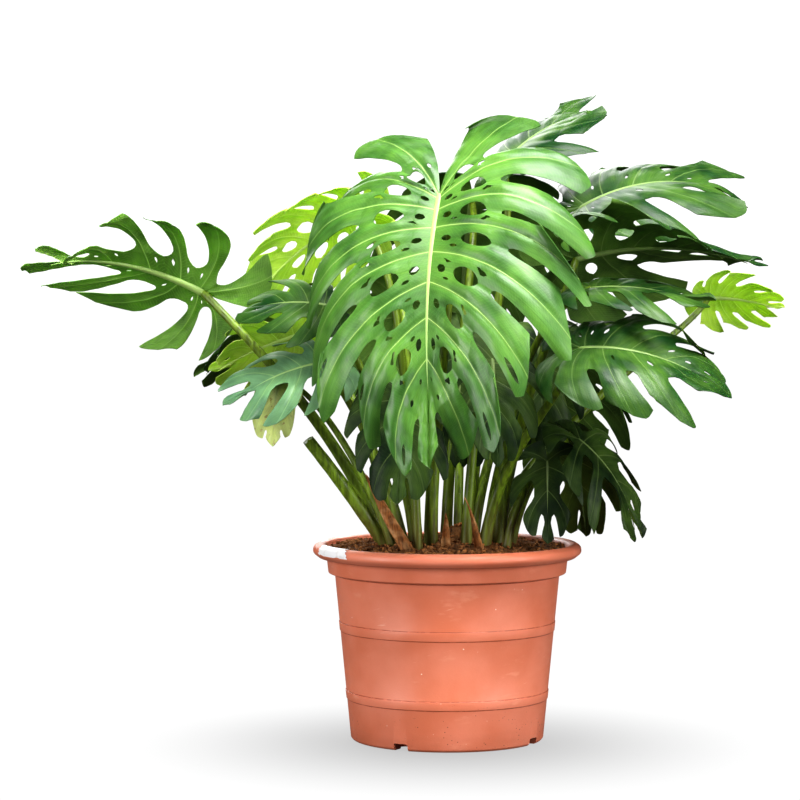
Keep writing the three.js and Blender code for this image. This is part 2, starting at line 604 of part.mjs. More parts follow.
const holes = [];
for (const leaf of leaves) {
  const frame = bladeFrame(leaf);
  const line = stalkLine(leaf, frame);
  const whole = bladeSolid(leaf, frame).add(stalkSolid(leaf, line));
  addPiece(leaf.name, geometryOf(whole), leaf.color, leaf.roughness);
  holes.push(soilHole(line.below, line.rise, stalk.inSoil, leaf.radius + 2 * FIT_GAP));
}
const cutLine = straightLine(cutStalk, stalk.inSoil);
addPiece('cut_stalk', geometryOf(cutStalkSolid(cutLine)), '#66763a', 0.6);
const cutHoleRadius = cutStalk.holeRoom * (1.1 * cutStalk.radius + FIT_GAP);
holes.push(soilHole(cutLine.below, cutLine.rise, stalk.inSoil, cutHoleRadius));
for (const piece of sheaths) {
  const line = straightLine(piece, sheath.inSoil);
  addPiece(piece.name, geometryOf(sheathSolid(piece, line)), '#8a5a3a', 0.85);
  holes.push(soilHole(line.below, line.rise, sheath.inSoil, 1.2 * piece.width + 4));
}
addPiece('pot', potGeometry(), '#d4694a', 0.5);
addPiece('rim_label', labelGeometry(), '#eeecef', 0.7);
addPiece('soil', soilGeometry(), '#4a3020', 0.95);

export default plant;
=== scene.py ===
"""A potted monstera: split and perforated leaves on long stalks, in a terracotta-coloured nursery pot.

Sizes in the tables are millimetres, the scene is in metres, +Z is up and the plant is seen from -Y.
"""

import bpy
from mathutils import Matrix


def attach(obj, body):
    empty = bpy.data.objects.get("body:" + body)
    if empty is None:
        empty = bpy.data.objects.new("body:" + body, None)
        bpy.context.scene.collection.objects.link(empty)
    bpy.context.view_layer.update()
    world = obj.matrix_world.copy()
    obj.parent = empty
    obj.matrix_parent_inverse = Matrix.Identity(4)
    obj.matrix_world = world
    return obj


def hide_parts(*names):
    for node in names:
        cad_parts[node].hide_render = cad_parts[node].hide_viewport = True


bl_info = {
    "name": "Potted monstera",
    "version": (1, 0, 0),
    "blender": (4, 5, 0),
    "location": "3D View > Sidebar > Monstera",
    "description": "A split-leaved monstera in a nursery pot, with its soil, label and dry sheaths",
    "category": "Object",
}

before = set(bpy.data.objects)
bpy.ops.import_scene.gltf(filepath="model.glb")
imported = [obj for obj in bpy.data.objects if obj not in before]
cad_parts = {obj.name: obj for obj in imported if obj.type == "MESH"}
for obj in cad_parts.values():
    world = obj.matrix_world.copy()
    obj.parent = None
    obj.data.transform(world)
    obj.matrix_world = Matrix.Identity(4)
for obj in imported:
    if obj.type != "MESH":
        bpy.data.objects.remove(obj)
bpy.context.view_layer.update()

import math
import random

import bmesh
import bpy
import numpy as np
from bpy.props import FloatProperty, FloatVectorProperty, IntProperty, PointerProperty
from mathutils import Matrix, Vector, noise

MM = 0.001

# ---------------------------------------------------------------- colours and sizes


def colour(code):
    """An sRGB hex value as linear light."""
    parts = [int(code[i : i + 2], 16) / 255 for i in (1, 3, 5)]
    return tuple(c / 12.92 if c <= 0.04045 else ((c + 0.055) / 1.055) ** 2.4 for c in parts)


def tint(name, code):
    return FloatVectorProperty(name=name, description=f"{name}, linear light", subtype="COLOR", size=3,
                               min=0.0, max=1.0, default=colour(code))


def length(name, description, millimetres):
    return FloatProperty(name=name, description=description, unit="LENGTH", min=0.0,
                         default=millimetres * MM)


class MonsteraColours(bpy.types.PropertyGroup):
    """Colours of the leaves, the pot and what is in it."""

    bright: tint("Bright leaf", "#40722a")
    mid: tint("Mid green leaf", "#447322")
    deep: tint("Deep green leaf", "#0f3f13")
    # The shaded leaf's colour is the leaf green darkened for the leaves inside and under the plant: painted
    # shade.
    dark: tint("Shaded leaf", "#102b0e")
    lime: tint("Young lime leaf", "#b6d862")
    grey: tint("Bluish leaf", "#648f68")
    straw: tint("Drying leaf", "#cfdc8c")
    vein: tint("Veins", "#b9d77c")
    underside: tint("Wax on the undersides", "#7fa844")
    stalk: tint("Leaf stalks", "#667f14")
    pot: tint("Pot", "#dc7c5b")
    soil: tint("Soil", "#6a4424")
    bark: tint("Bark chips", "#8f5d33")
    sheath: tint("Dry sheaths", "#95602f")
    label: tint("Label", "#f2f1f2")


class MonsteraSizes(bpy.types.PropertyGroup):
    """Sizes that set how fine the pieces are."""

    blade: length("Blade thickness", "Thickness of each leaf blade", 1.2)
    vein: length("Side vein width", "Width of the largest leaf's side veins where they leave the midrib", 2.0)
    rib: length("Midrib width", "Width of the largest leaf's midrib at the stalk", 14.0)
    chips: IntProperty(name="Bark chips", description="Loose crumbs and chips that lie on the soil",
                       default=1500, min=0)
    pot_steps: IntProperty(name="Pot steps", description="Faces around the pot", default=180, min=24)


# ---------------------------------------------------------------- tables, in millimetres

# A leaf's name and tone, then
# at: where the stalk meets the blade; heading, pitch, roll: the way the midrib leaves it, in degrees;
# length: of the midrib; droop, curl, fold: how the midrib and the halves bend, in degrees;
# lobes: beside the tip's own, in each half; split, gap: where the cuts start and how wide they stand open;
# root: where the stalk leaves the soil; radius: of the stalk; phase: what the lobes' sway starts from.
LEAF_COLUMNS = ("name", "tone", "at", "heading", "pitch", "roll", "length", "droop", "curl", "fold",
                "lobes", "split", "gap", "root", "radius", "phase")
# The last column holds what only some leaves have.
# oval: rows of holes between the side veins, as (from, to, width); pore: holes and slits inside a lobe;
# width: of the blade, as a share of the usual; twist: of the midrib, in degrees; base_droop: of the blade
# behind the stalk, as a share of droop; lopsided: how much more one half curls than the other;
# lean: how soon the stalk leans out; knee: the angle between stalk and midrib, in degrees.
OVALS = [(0.05, 0.105, 0.3), (0.16, 0.33, 0.5)]
PORES = [(0.1, 0.14, 0.1), (0.3, 0.36, 0.12), (0.74, 0.92, 0.1)]
LEAF_ROWS = [
    ("front_main", "bright", (-17, -235, 901), -105, -52, 8, 415, 42, 72, 12,
     8, 0.42, 0.24, (-28, -70), 11.5, 4.15, dict(base_droop=0.5, lopsided=0.1, oval=OVALS, pore=PORES)),
    ("left_reaching", "mid", (-409, 10, 748), 176, 28, 62, 285, 66, 50, 8,
     5, 0.2, 0.7, (-104, -10), 11, 1.6,
     dict(width=0.82, twist=-38, pore=[(0.12, 0.17, 0.1)], lean=0.9, knee=30)),
    ("left_dark", "deep", (-262, 187, 702), 178, -14, 22, 185, 40, 60, 5,
     4, 0.38, 0.35, (-88, 55), 9, 2.9, {}),
    ("left_pale", "lime", (-255, 97, 675), 188, -16, 44, 150, 22, 30, 0,
     4, 0.45, 0.3, (-86, 14), 8, 0.3, dict(lean=0.6)),
    ("left_grey", "grey", (-205, -110, 634), 196, -8, -35, 165, 40, 60, 5,
     4, 0.25, 0.5, (-72, -72), 9, 4.1, dict(lean=0.6)),
    ("left_yellow", "straw", (-280, -95, 598), -115, -72, 0, 95, 20, 30, 0,
     2, 0.65, 0.12, (-92, -60), 7, 5.2, dict(width=0.7, lean=0.6)),
    ("left_lime", "lime", (-150, 130, 875), 165, -20, 38, 215, 45, 55, 5,
     6, 0.42, 0.25, (-50, 55), 9, 1.1, dict(oval=[(0.12, 0.32, 0.5)])),
    ("left_glossy", "deep", (-198, -130, 728), 176, 10, -38, 140, 35, 55, 5,
     4, 0.36, 0.35, (-55, -22), 9, 3.3, {}),
    ("right_high", "deep", (95, 95, 962), 18, 50, 10, 205, 45, 66, 5,
     5, 0.45, 0.3, (40, 50), 10, 0.9, {}),
    ("right_upper", "deep", (230, 114, 892), 2, 31, 24, 290, 58, 65, 6,
     5, 0.34, 0.35, (70, 35), 10, 2.2, dict(pore=[(0.14, 0.2, 0.12)])),
    ("right_under", "deep", (212, -42, 804), 4, 16, -40, 290, 45, 45, 6,
     5, 0.4, 0.3, (88, 5), 10, 5.5, dict(twist=40, oval=[(0.12, 0.3, 0.5)])),
    ("right_mid", "deep", (232, -140, 756), -8, 6, 12, 185, 30, 55, 4,
     4, 0.32, 0.4, (84, -38), 9, 1.4, dict(lean=0.1, knee=20)),
    ("right_broad", "deep", (212, -200, 660), -18, 5, 28, 240, 50, 60, 6,
     5, 0.42, 0.25, (62, -72), 10, 3.8, dict(pore=[(0.2, 0.28, 0.14)])),
    ("right_lime", "lime", (455, 170, 738), 0, 0, -40, 120, 25, 20, 0,
     5, 0.42, 0.28, (100, 46), 9, 0.2, {}),
    # Leaves of the dark tone, inside and low under the plant, are coloured darker: painted shade.
    ("right_low", "dark", (218, -70, 505), -10, -38, 20, 180, 45, 60, 4,
     4, 0.25, 0.5, (108, -15), 7, 2.6, {}),
    ("right_fan", "dark", (163, -84, 470), -88, -78, 0, 125, 15, 30, 4,
     3, 0.3, 0.5, (97, -72), 7, 1.2, dict(width=0.75)),
    ("inner_right", "dark", (154, 60, 660), -80, -62, 0, 165, 30, 50, 4,
     4, 0.4, 0.3, (46, 4), 8, 3.1, dict(width=0.85)),
    ("inner_middle", "dark", (22, -14, 655), -98, -74, 0, 190, 25, 45, 4,
     3, 0.42, 0.3, (18, -40), 8, 0.7, dict(width=0.65)),
    ("back_hanging", "dark", (210, 165, 490), 48, -62, 0, 165, 20, 35, 4,
     4, 0.35, 0.25, (88, 72), 8, 4.4, {}),
    ("front_low", "dark", (70, -165, 640), -80, -62, 0, 165, 25, 50, 4,
     4, 0.42, 0.25, (30, -88), 9, 5.0, dict(width=0.75)),
    ("front_left_low", "dark", (-72, -176, 580), -100, -60, 0, 165, 25, 50, 4,
     4, 0.42, 0.25, (-50, -95), 8, 0.5, dict(width=0.9)),
    ("back_high", "deep", (46, 238, 903), 97, -40, 0, 300, 45, 70, 8,
     6, 0.42, 0.22, (0, 85), 10, 1.9, dict(pore=PORES)),
    ("back_left", "deep", (-85, 190, 730), 100, -65, 0, 200, 45, 50, 6,
     5, 0.42, 0.22, (-56, 92), 9, 2.4, {}),
    ("back_right", "deep", (175, 285, 640), 62, -35, 0, 240, 40, 50, 6,
     5, 0.42, 0.22, (45, 98), 9, 3.6, {}),
]
LEAVES = [dict(zip(LEAF_COLUMNS, row)) | row[-1] for row in LEAF_ROWS]
# Its midrib and veins have the widths that the panel states.
LARGEST = LEAVES[0]
# The lobes' ends lie on a fan: the angle of its last one, in degrees, and its centre along the midrib.
FAN = dict(last=166, centre=0.36)
# How much shorter a lobe is at its corners than along its vein, as a share of its reach.
LOBE_POINT = 0.22
# How far the blade rises and falls across a lobe, and its free end hangs, tilts and rolls, as shares of the
# leaf's length.
RELIEF = dict(bulge=0.14, groove=0.003, pillow=0.011, crinkle=0.0012, hang=0.08, tilt=0.03, roll=0.035)
# Faces across a quarter of a lobe.
STRIP_COLUMNS = 3
# The net of small veins is drawn this far apart, coarser than life so that it shows.
NET = 7
SLOTS = {"bright": "leaf_bright", "mid": "leaf_mid", "deep": "leaf_dark", "dark": "leaf_dark",
         "lime": "leaf_lime", "grey": "leaf_grey_green", "straw": "leaf_yellow"}

# How far the veins fade into the leaf's own green.
VEIN_FADE = {"bright": 0.3, "mid": 0.45, "deep": 0.72, "dark": 0.75, "lime": 0.4, "grey": 0.6, "straw": 0.6}

CUT_STALK = dict(root=(-103, -42), end=(-231, -62, 505), radius=10.5)
SHEATHS = [
    dict(name="left", root=(-70, -110), end=(-141, -118, 447), width=10, facing=-60),
    dict(name="middle", root=(-4, -100), end=(-6, -112, 390), width=8, facing=-90),
    dict(name="right", root=(52, -108), end=(30, -128, 418), width=8, facing=-120),
]

# The pot's half section: radius, height and how far its corner is rounded.
POT_PROFILE = [
    (0, 0, 0), (70, 0, 0.8), (74, 8, 0.8), (134, 8, 0.8), (138, 0, 0.8), (158, 0, 2), (161.4, 4, 0.8),
    (167.7, 69, 0.3), (168.9, 69.8, 0.3), (170.4, 83.2, 0.3), (169.2, 84, 0.3),
    (178.8, 183, 0.3), (180, 183.8, 0.3), (181.4, 198.2, 0.3), (180.4, 199, 0.3),
    (188, 277, 1), (199, 280, 1.5), (202, 307, 1), (215, 306, 1), (225, 314, 3.5), (224, 324, 3.5),
    (214, 330, 3.5), (204, 327, 3), (198.5, 316, 3), (195.5, 283.5, 1), (184.5, 280.5, 1),
    (158.3, 14, 2), (0, 14, 0),
]
NOTCH = dict(count=4, width=26, height=12, turn=61)
# The blocks that cut the notches lie across the foot's wall.
NOTCH_BLOCK = dict(length=50, away=161, corner=3)
# Heights of the pot's corners that are painted darker as shade: the bands' edges and the collar's underside.
SHADED_CORNER_HEIGHTS = (69, 84, 183, 199, 277, 306)
# The soil's half section, up to the edge of its surface.
SOIL_SIDE = [(0, 255, 0), (150, 255, 0), (178, 262, 0), (179, 278, 0), (193, 287, 0), (196.5, 313, 0)]
SOIL_RADIUS = 200
SOIL_RINGS = 64
SOIL_TOP = 322
MOUND = dict(height=18, radius=115)
CLOD = dict(x=24, y=-54, height=30, radius=33)
# How deep the stalks and the sheaths stand in the soil.
BURIED = dict(stalk=14, sheath=12)

# The label's path over the rim: radius and height. middle, half, lean: in degrees round the rim.
LABEL_PATH = [(224.9, 315), (224.9, 319), (224.2, 323.8), (222.6, 326), (219, 328.2), (214, 330),
              (210, 329.4), (208.3, 328.4)]
LABEL = dict(middle=-61, half=11.5, lean=4.5, paper=0.3)

# Lights: name, place and width in metres, power in watts. They all face LIT.
LIGHTS = [
    ("Top", (0.5, -1.2, 3.2), 1.8, 235),
    ("Key", (3.4, -2.6, 1.2), 2.2, 148),
    ("Fill", (-3.4, -2.6, 1.2), 2.2, 142),
    ("Back", (-0.6, 3.0, 2.2), 2.4, 105),
]
LIT = Vector((0, 0, 0.6))
CAMERA = dict(place=(-0.079, -5.0, 0.785), target=(-0.079, 0, 0.568), lens=134.7, sensor=36)
FLOOR_RADIUS = 60

# ---------------------------------------------------------------- small helpers


def mix(a, b, share):
    return a + (b - a) * share


def lay_out(bm, columns, rows, place, values=()):
    """A grid laid out by place(u, v), both from 0 to 1, which gives points in metres and a number for each
    of the named values. Returns the grid's vertices."""
    verts = bmesh.ops.create_grid(bm, x_segments=columns, y_segments=rows, size=0.5)["verts"]
    spots = np.array([v.co[:2] for v in verts]) + 0.5
    points, *numbers = place(spots[:, 0], spots[:, 1])
    layers = [bm.verts.layers.float[name] for name in values]
    for i, vert in enumerate(verts):
        vert.co = points[i]
        for layer, number in zip(layers, numbers):
            vert[layer] = float(number[i])
    return verts


def linked(name, bm):
    """A new object in the scene, made of the bmesh, which is then freed."""
    mesh = bpy.data.meshes.new(name)
    bm.to_mesh(mesh)
    bm.free()
    obj = bpy.data.objects.new(name, mesh)
    bpy.context.scene.collection.objects.link(obj)
    return obj


def faces_of(verts):
    """The faces that meet at any of the vertices, each once, always in the same order."""
    return list(dict.fromkeys(face for vert in verts for face in vert.link_faces))


def tube(bm, centres, across, up, sides, material):
    """A closed bar through centres. across and up are its half widths there, as vectors in metres."""
    steps = len(centres) - 1

    def place(u, v):
        ring = np.rint(v * steps).astype(int)
        angle = 2 * np.pi * u[:, None]
        along = np.zeros(len(u)) if "along" not in bm.verts.layers.float else v
        return centres[ring] + across[ring] * np.cos(angle) + up[ring] * np.sin(angle), along

    verts = lay_out(bm, sides, steps, place, ["along"])
    bmesh.ops.remove_doubles(bm, verts=verts, dist=1e-6)
    faces = faces_of([v for v in verts if v.is_valid])
    ends = list(dict.fromkeys(edge for face in faces for edge in face.edges if edge.is_boundary))
    faces += bmesh.ops.holes_fill(bm, edges=ends, sides=0)["faces"]
    for face in faces:
        face.material_index = material
    return faces


def carried(points):
    """Two directions square to a line at each of its points, carried along it without turning."""
    tangents = np.gradient(points, axis=0)
    tangents /= np.linalg.norm(tangents, axis=1)[:, None]
    side = np.cross((0, 1, 0), tangents[0])
    sides = []
    for tangent in tangents:
        side = side - tangent * side.dot(tangent)
        side /= np.linalg.norm(side)
        sides.append(side)
    sides = np.array(sides)
    return sides, np.cross(tangents, sides)


def round_bar(bm, points, radii, sides, material, lumps=0.0):
    """A round bar through points, in metres. lumps: how uneven its radius is, as a share."""
    across, up = carried(points)
    radii = np.array(radii)[:, None]
    if lumps:
        wobble = [noise.noise(Vector(p) * 60) for p in points]
        radii = radii * (1 + lumps * np.array(wobble)[:, None])
    return tube(bm, points, across * radii, up * radii, sides, material)


def soil_height(x, y):
    """The soil's height over a point: a low mound, a clod near the middle, and lumps."""
    mound = MOUND["height"] * np.exp(-(x * x + y * y) / MOUND["radius"] ** 2)
    away = (x - CLOD["x"]) ** 2 + (y - CLOD["y"]) ** 2
    clod = CLOD["height"] * np.exp(-away / CLOD["radius"] ** 2)
    lumps = 2.2 * np.sin(x * 0.071 + 1) * np.cos(y * 0.063) + 1.4 * np.sin(x * 0.16 + y * 0.12)
    return SOIL_TOP + mound + clod + lumps


def on_soil(x, y):
    """The point of the soil's surface there, in millimetres."""
    return np.array((x, y, float(soil_height(x, y))))


def turned(bm, profile, steps):
    """A half section turned all the way round the pot's axis. profile: radius, height, rounding."""
    verts = [bm.verts.new((r * MM, 0, z * MM)) for r, z, *_ in profile]
    edges = [bm.edges.new(pair) for pair in zip(verts, verts[1:])]
    bmesh.ops.spin(bm, geom=verts + edges, cent=(0, 0, 0), axis=(0, 0, 1), angle=2 * math.pi,
                   steps=steps, use_merge=True)
    bmesh.ops.remove_doubles(bm, verts=bm.verts, dist=1e-6)
    bmesh.ops.recalc_face_normals(bm, faces=bm.faces)
    for width in sorted({p[2] for p in profile if p[2]}):
        at = {(round(r, 1), round(z, 1)) for r, z, own in profile if own == width}
        rings = [e for e in bm.edges if all(ring_place(v) in at for v in e.verts) and level(e)]
        bmesh.ops.bevel(bm, geom=rings, offset=width * MM, offset_type="OFFSET", affect="EDGES",
                        segments=3 if width > 1 else 2, profile=0.5, material=-1, clamp_overlap=True)


def ring_place(vert):
    """The radius and height of the ring that a vertex lies on, in millimetres."""
    return round(vert.co.xy.length / MM, 1), round(vert.co.z / MM, 1)


def level(edge):
    a, b = (ring_place(vert) for vert in edge.verts)
    return a == b


def piece(name, bm, materials, nodes, sharp=40):
    """The bmesh as a finished piece that rides on the plant and stands for the CAD nodes."""
    obj = linked(name, bm)
    for material in materials:
        obj.data.materials.append(material)
    obj.data.shade_smooth()
    obj.data.set_sharp_from_angle(angle=math.radians(sharp))
    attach(obj, "root")
    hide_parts(*nodes)
    return obj


# ---------------------------------------------------------------- material helpers


def add(tree, kind, inputs=None, **settings):
    """A shader node with its settings and inputs. An input is a socket to link or a value to set."""
    made = tree.nodes.new("ShaderNode" + kind)
    for key, value in settings.items():
        setattr(made, key, value)
    for key, value in (inputs or {}).items():
        join(made, key, value)
    return made


def join(node, key, value):
    """A node's input, linked to a socket or set to a value."""
    if isinstance(value, bpy.types.NodeSocket):
        node.id_data.links.new(value, node.inputs[key])
    else:
        node.inputs[key].default_value = value


def blank(name):
    """A new material, its emptied node tree, and the Object coordinates in it."""
    material = bpy.data.materials.new(name)
    material.use_nodes = True
    tree = material.node_tree
    tree.nodes.clear()
    return material, tree, add(tree, "TexCoord").outputs["Object"]


def picked(name):
    """A colour of the panel, by its name."""
    return Vector(getattr(bpy.context.scene.monstera_colours, name))


def fleshy(weight, radius, scale):
    """Inputs for light that enters a surface: how much, how far by colour, and the unit of that in metres."""
    return {"Subsurface Weight": weight, "Subsurface Radius": radius, "Subsurface Scale": scale}


def surfaced(material, tone, roughness, bump, more):
    """The material, ended in a Principled surface with this colour, roughness, bump and other inputs."""
    tree = material.node_tree
    skin = add(tree, "BsdfPrincipled", {"Base Color": tone, "Roughness": roughness, "Normal": bump, **more})
    add(tree, "OutputMaterial", {"Surface": skin.outputs["BSDF"]})
    return material


def blend(share, first, second):
    """The colour between two, each a socket or a colour, by a share that is a socket."""
    ends = [c if isinstance(c, bpy.types.NodeSocket) else (*c[:3], 1.0) for c in (first, second)]
    made = add(share.id_data, "Mix", data_type="RGBA")
    for index, value in ((0, share), (6, ends[0]), (7, ends[1])):
        join(made, index, value)
    return made.outputs[2]


def ramp(value, low, high, first=0.0, last=1.0):
    """value eased from first at low to last at high."""
    made = add(value.id_data, "MapRange",
               {"Value": value, "From Min": low, "From Max": high, "To Min": first, "To Max": last},
               interpolation_type="SMOOTHSTEP")
    return made.outputs["Result"]


def sums(how, first, second=0.0):
    """The first, a socket, and the second, a socket or a number, in one sum."""
    return add(first.id_data, "Math", {0: first, 1: second}, operation=how).outputs[0]


def plus(first, second):
    return sums("ADD", first, second)


def times(first, second):
    return sums("MULTIPLY", first, second)


def grains(coord, millimetres, detail=2.0, stretch=(1, 1, 1)):
    """Noise whose blotches are about so many millimetres, stretched along an axis."""
    moved = add(coord.id_data, "Mapping", {"Vector": coord, "Scale": stretch})
    made = add(coord.id_data, "TexNoise",
               {"Vector": moved.outputs[0], "Scale": 1 / (millimetres * MM), "Detail": detail})
    return made.outputs["Fac"]


def cells(coord, millimetres):
    """A mosaic of cells that are about so many millimetres."""
    return add(coord.id_data, "TexVoronoi", {"Vector": coord, "Scale": 1 / (millimetres * MM)})


def bumped(height, depth):
    """A bump of so many millimetres."""
    made = add(height.id_data, "Bump", {"Height": height, "Strength": 1.0, "Distance": depth * MM})
    return made.outputs[0]


# ---------------------------------------------------------------- materials


def leaf_skin(tone, under):
    """A living monstera leaf, waxed by its own cuticle: a satin, slightly streaky green whose sheen breaks
    up along the side veins, with pale veins and a paler, duller underside."""
    material, tree, coord = blank(f"Monstera leaf, {'underside' if under else 'waxy upper face'}, {tone}")
    flow = add(tree, "UVMap", uv_map="veins").outputs[0]
    vein, out = (add(tree, "Attribute", attribute_name=n).outputs["Fac"] for n in ("vein", "out"))
    base = picked(tone)
    if under:
        base = base.lerp(picked("underside"), 0.3)
    deep, fresh = base * 0.5, base.lerp(Vector((0.5, 0.8, 0.12)), 0.12)
    patches = grains(coord, 70, 3)
    streaks = grains(flow, 9, 3, (1, 0.12, 1))
    fibres = grains(flow, 2.2, 2, (1, 0.05, 1))
    green = blend(ramp(patches, 0.32, 0.68), deep, fresh)
    green = blend(ramp(streaks, 0.35, 0.7, 0.0, 0.35), green, base * 1.35)
    green = blend(ramp(fibres, 0.35, 0.7, 0.0, 0.35), green, base * 0.6)
    green = blend(ramp(out, 0.55, 1.0, 0.0, 0.3), green, deep)
    if tone == "straw":
        spots = ramp(grains(coord, 9, 3), 0.6, 0.68, 0.0, 0.6)
        green = blend(spots, green, colour("#7d5a38"))
    # Pale flesh beside the veins, and the veins themselves.
    pale = picked("vein").lerp(base, VEIN_FADE[tone])
    green = blend(ramp(vein, 1.0, 4.5, 0.25, 0.0), green, base.lerp(pale, 0.6))
    line = times(ramp(vein, 0.45, 1.15, 0.8, 0.0), ramp(out, 0.3, 1.0, 1.0, 0.35))
    # The net of small veins.
    split = add(tree, "SeparateXYZ", {"Vector": flow})
    lean = times(sums("ABSOLUTE", split.outputs["X"]), 0.9)
    wander = times(grains(flow, 16), 0.012)
    phase = plus(sums("SUBTRACT", split.outputs["Y"], lean), wander)
    ripple = sums("SINE", times(phase, 2 * math.pi / (NET * MM)))
    net = ramp(ripple, 0.7, 1.0, 0.0, 0.3 if under else 0.1)
    green = blend(net, green, base.lerp(pale, 0.5))
    green = blend(line, green, pale)
    relief = times(line, 0.9 if under else 0.55)
    rough = grains(coord, 2.5)
    for height, share in ((net, 0.5 if under else -0.4), (streaks, 0.5), (fibres, 0.25), (rough, 0.15)):
        relief = plus(relief, times(height, share))
    shine = 0.6 if under or tone == "straw" else 0.46 if tone == "dark" else 0.33
    light_through = {"lime": 0.85, "straw": 0.6, "mid": 0.6}.get(tone, 0.15)
    return surfaced(material, green, ramp(streaks, 0.3, 0.7, shine, shine + 0.16), bumped(relief, 0.8), {
        "IOR": 1.45,
        "Specular IOR Level": {"bright": 0.38, "dark": 0.2, "deep": 0.26}.get(tone, 0.4),
        "Coat Weight": 0.1 if tone == "bright" and not under else 0.0,
        "Coat Roughness": 0.3,
        **fleshy(light_through, (0.75, 1.0, 0.3), 0.002 + 0.008 * light_through**2),
    })


def stalk_skin():
    """Green plant stem: satin, finely ribbed along its length, flecked pale and browner near the soil."""
    material, tree, coord = blank("Monstera stalk, ribbed green stem")
    height = add(tree, "SeparateXYZ", {"Vector": coord}).outputs["Z"]
    base = picked("stalk")
    streak = grains(coord, 5, 3, (1, 1, 0.08))
    green = blend(ramp(streak, 0.3, 0.7), base * 0.5, base * 1.5)
    green = blend(ramp(grains(coord, 45), 0.35, 0.7, 0.0, 0.6), green, base * 0.5)
    spots = ramp(cells(coord, 6).outputs["Distance"], 0.08, 0.16, 0.25, 0.0)
    green = blend(spots, green, colour("#c7cf96"))
    low = ramp(plus(height, times(streak, 0.05)), 0.34, 0.46, 0.75, 0.0)
    green = blend(low, green, colour("#5b4a26"))
    return surfaced(material, green, ramp(streak, 0.3, 0.7, 0.38, 0.55), bumped(streak, 0.5),
                    fleshy(0.15, (0.7, 1.0, 0.2), 0.003))


def rib_skin(tone):
    """The midrib's pale flesh: smooth and yellow-green, faintly ribbed, greener towards the tip."""
    material, tree, coord = blank(f"Monstera midrib, pale flesh, {tone}")
    along = add(tree, "Attribute", attribute_name="along").outputs["Fac"]
    leaf = picked(tone)
    base = picked("vein").lerp(leaf, 0.8 * VEIN_FADE[tone])
    flesh = blend(ramp(along, 0.3, 1.0, 0.0, 0.5), base * 0.95, leaf * 1.4)
    flesh = blend(ramp(grains(coord, 6, 3), 0.35, 0.7, 0.0, 0.4), flesh, base * 0.75)
    return surfaced(material, flesh, 0.52, bumped(grains(coord, 2.5, 2), 0.2),
                    fleshy(0.2, (0.7, 1.0, 0.3), 0.003))


def pot_plastic():
    """Moulded polypropylene, terracotta-coloured: satin and slightly uneven, with scuffs that run round it,
    fine scratches, white specks, soil dust low down, and painted shade in the corners along the bands'
    edges and under the collar."""
    material, tree, coord = blank("Moulded polypropylene, terracotta")
    height = add(tree, "SeparateXYZ", {"Vector": coord}).outputs["Z"]
    base = picked("pot")
    tone = blend(ramp(grains(coord, 90, 4), 0.3, 0.7), base * 0.9, base.lerp(Vector((1, 1, 1)), 0.04))
    scuffs = grains(coord, 26, 6, (0.5, 0.5, 1.4))
    tone = blend(ramp(scuffs, 0.62, 0.74, 0.0, 0.3), tone, colour("#eaa488"))
    # A few slanting scratches, in patches.
    tilted = add(tree, "VectorRotate", {"Vector": coord, "Angle": 0.25}, rotation_type="Y_AXIS")
    scratch = grains(tilted.outputs[0], 5, 2, (0.12, 0.12, 2.0))
    patchy = ramp(grains(coord, 45), 0.56, 0.66)
    lines = times(ramp(scratch, 0.7, 0.75), patchy)
    tone = blend(times(lines, 0.5), tone, colour("#f2c3ad"))
    # Painted shade in the corners along the bands' edges and under the collar: dark lines at these heights,
    # broken by noise.
    for corner in SHADED_CORNER_HEIGHTS:
        apart = sums("ABSOLUTE", sums("SUBTRACT", height, corner * MM))
        line = times(ramp(apart, 0.3 * MM, 1.1 * MM, 1.0, 0.0),
                     ramp(grains(coord, 12, 3), 0.3, 0.55, 0.25, 0.8))
        tone = blend(line, tone, colour("#93452c"))
    white = times(ramp(cells(coord, 16).outputs["Distance"], 0.04, 0.08, 1.0, 0.0),
                  ramp(grains(coord, 40), 0.58, 0.66))
    tone = blend(white, tone, colour("#f6e6da"))
    dirt = times(ramp(cells(coord, 6).outputs["Distance"], 0.08, 0.2, 1.0, 0.0),
                 ramp(grains(coord, 24), 0.5, 0.62))
    low = ramp(height, 0.02, 0.1, 0.95, 0.03)
    tone = blend(times(dirt, low), tone, colour("#5a3524"))
    dust = ramp(plus(height, times(scuffs, 0.04)), 0.01, 0.06, 0.35, 0.0)
    tone = blend(dust, tone, colour("#8a4a34"))
    bump = bumped(plus(grains(coord, 3, 3), times(lines, -0.4)), 0.12)
    return surfaced(material, tone, ramp(scuffs, 0.3, 0.75, 0.38, 0.56), bump,
                    {"IOR": 1.49, **fleshy(0.08, (1.0, 0.4, 0.2), 0.004)})


def peat(name, colour_name, size):
    """Peat and shredded bark: matt, fibrous and broken, from near black to reddish brown."""
    material, tree, coord = blank(name)
    base = picked(colour_name)
    crumbs = cells(coord, size)
    shade = add(tree, "SeparateColor", {"Color": crumbs.outputs["Color"]}).outputs[0]
    fibre = grains(coord, 4, 5)
    tone = blend(shade, base * 0.45, base * 1.5)
    tone = blend(ramp(fibre, 0.4, 0.7, 0.0, 0.7), tone, base.lerp(Vector((0.35, 0.2, 0.1)), 0.4))
    tone = blend(ramp(grains(coord, 22, 3), 0.5, 0.7, 0.0, 0.6), tone, base * 0.3)
    bump = bumped(plus(fibre, crumbs.outputs["Distance"]), 2.0)
    return surfaced(material, tone, 0.93, bump, {"Specular IOR Level": 0.25})


def dry_sheath_skin():
    """Dead leaf sheath: dry and papery, brown with darker fibres along it and bleached patches."""
    material, _, coord = blank("Dry leaf sheath, papery")
    base = picked("sheath")
    fibre = grains(coord, 3, 4, (1, 1, 0.1))
    tone = blend(ramp(fibre, 0.3, 0.7), base * 0.45, base * 1.3)
    tone = blend(ramp(grains(coord, 18, 3), 0.45, 0.7, 0.0, 0.7), tone, colour("#c39a6a"))
    return surfaced(material, tone, 0.8, bumped(fibre, 1.0), {})


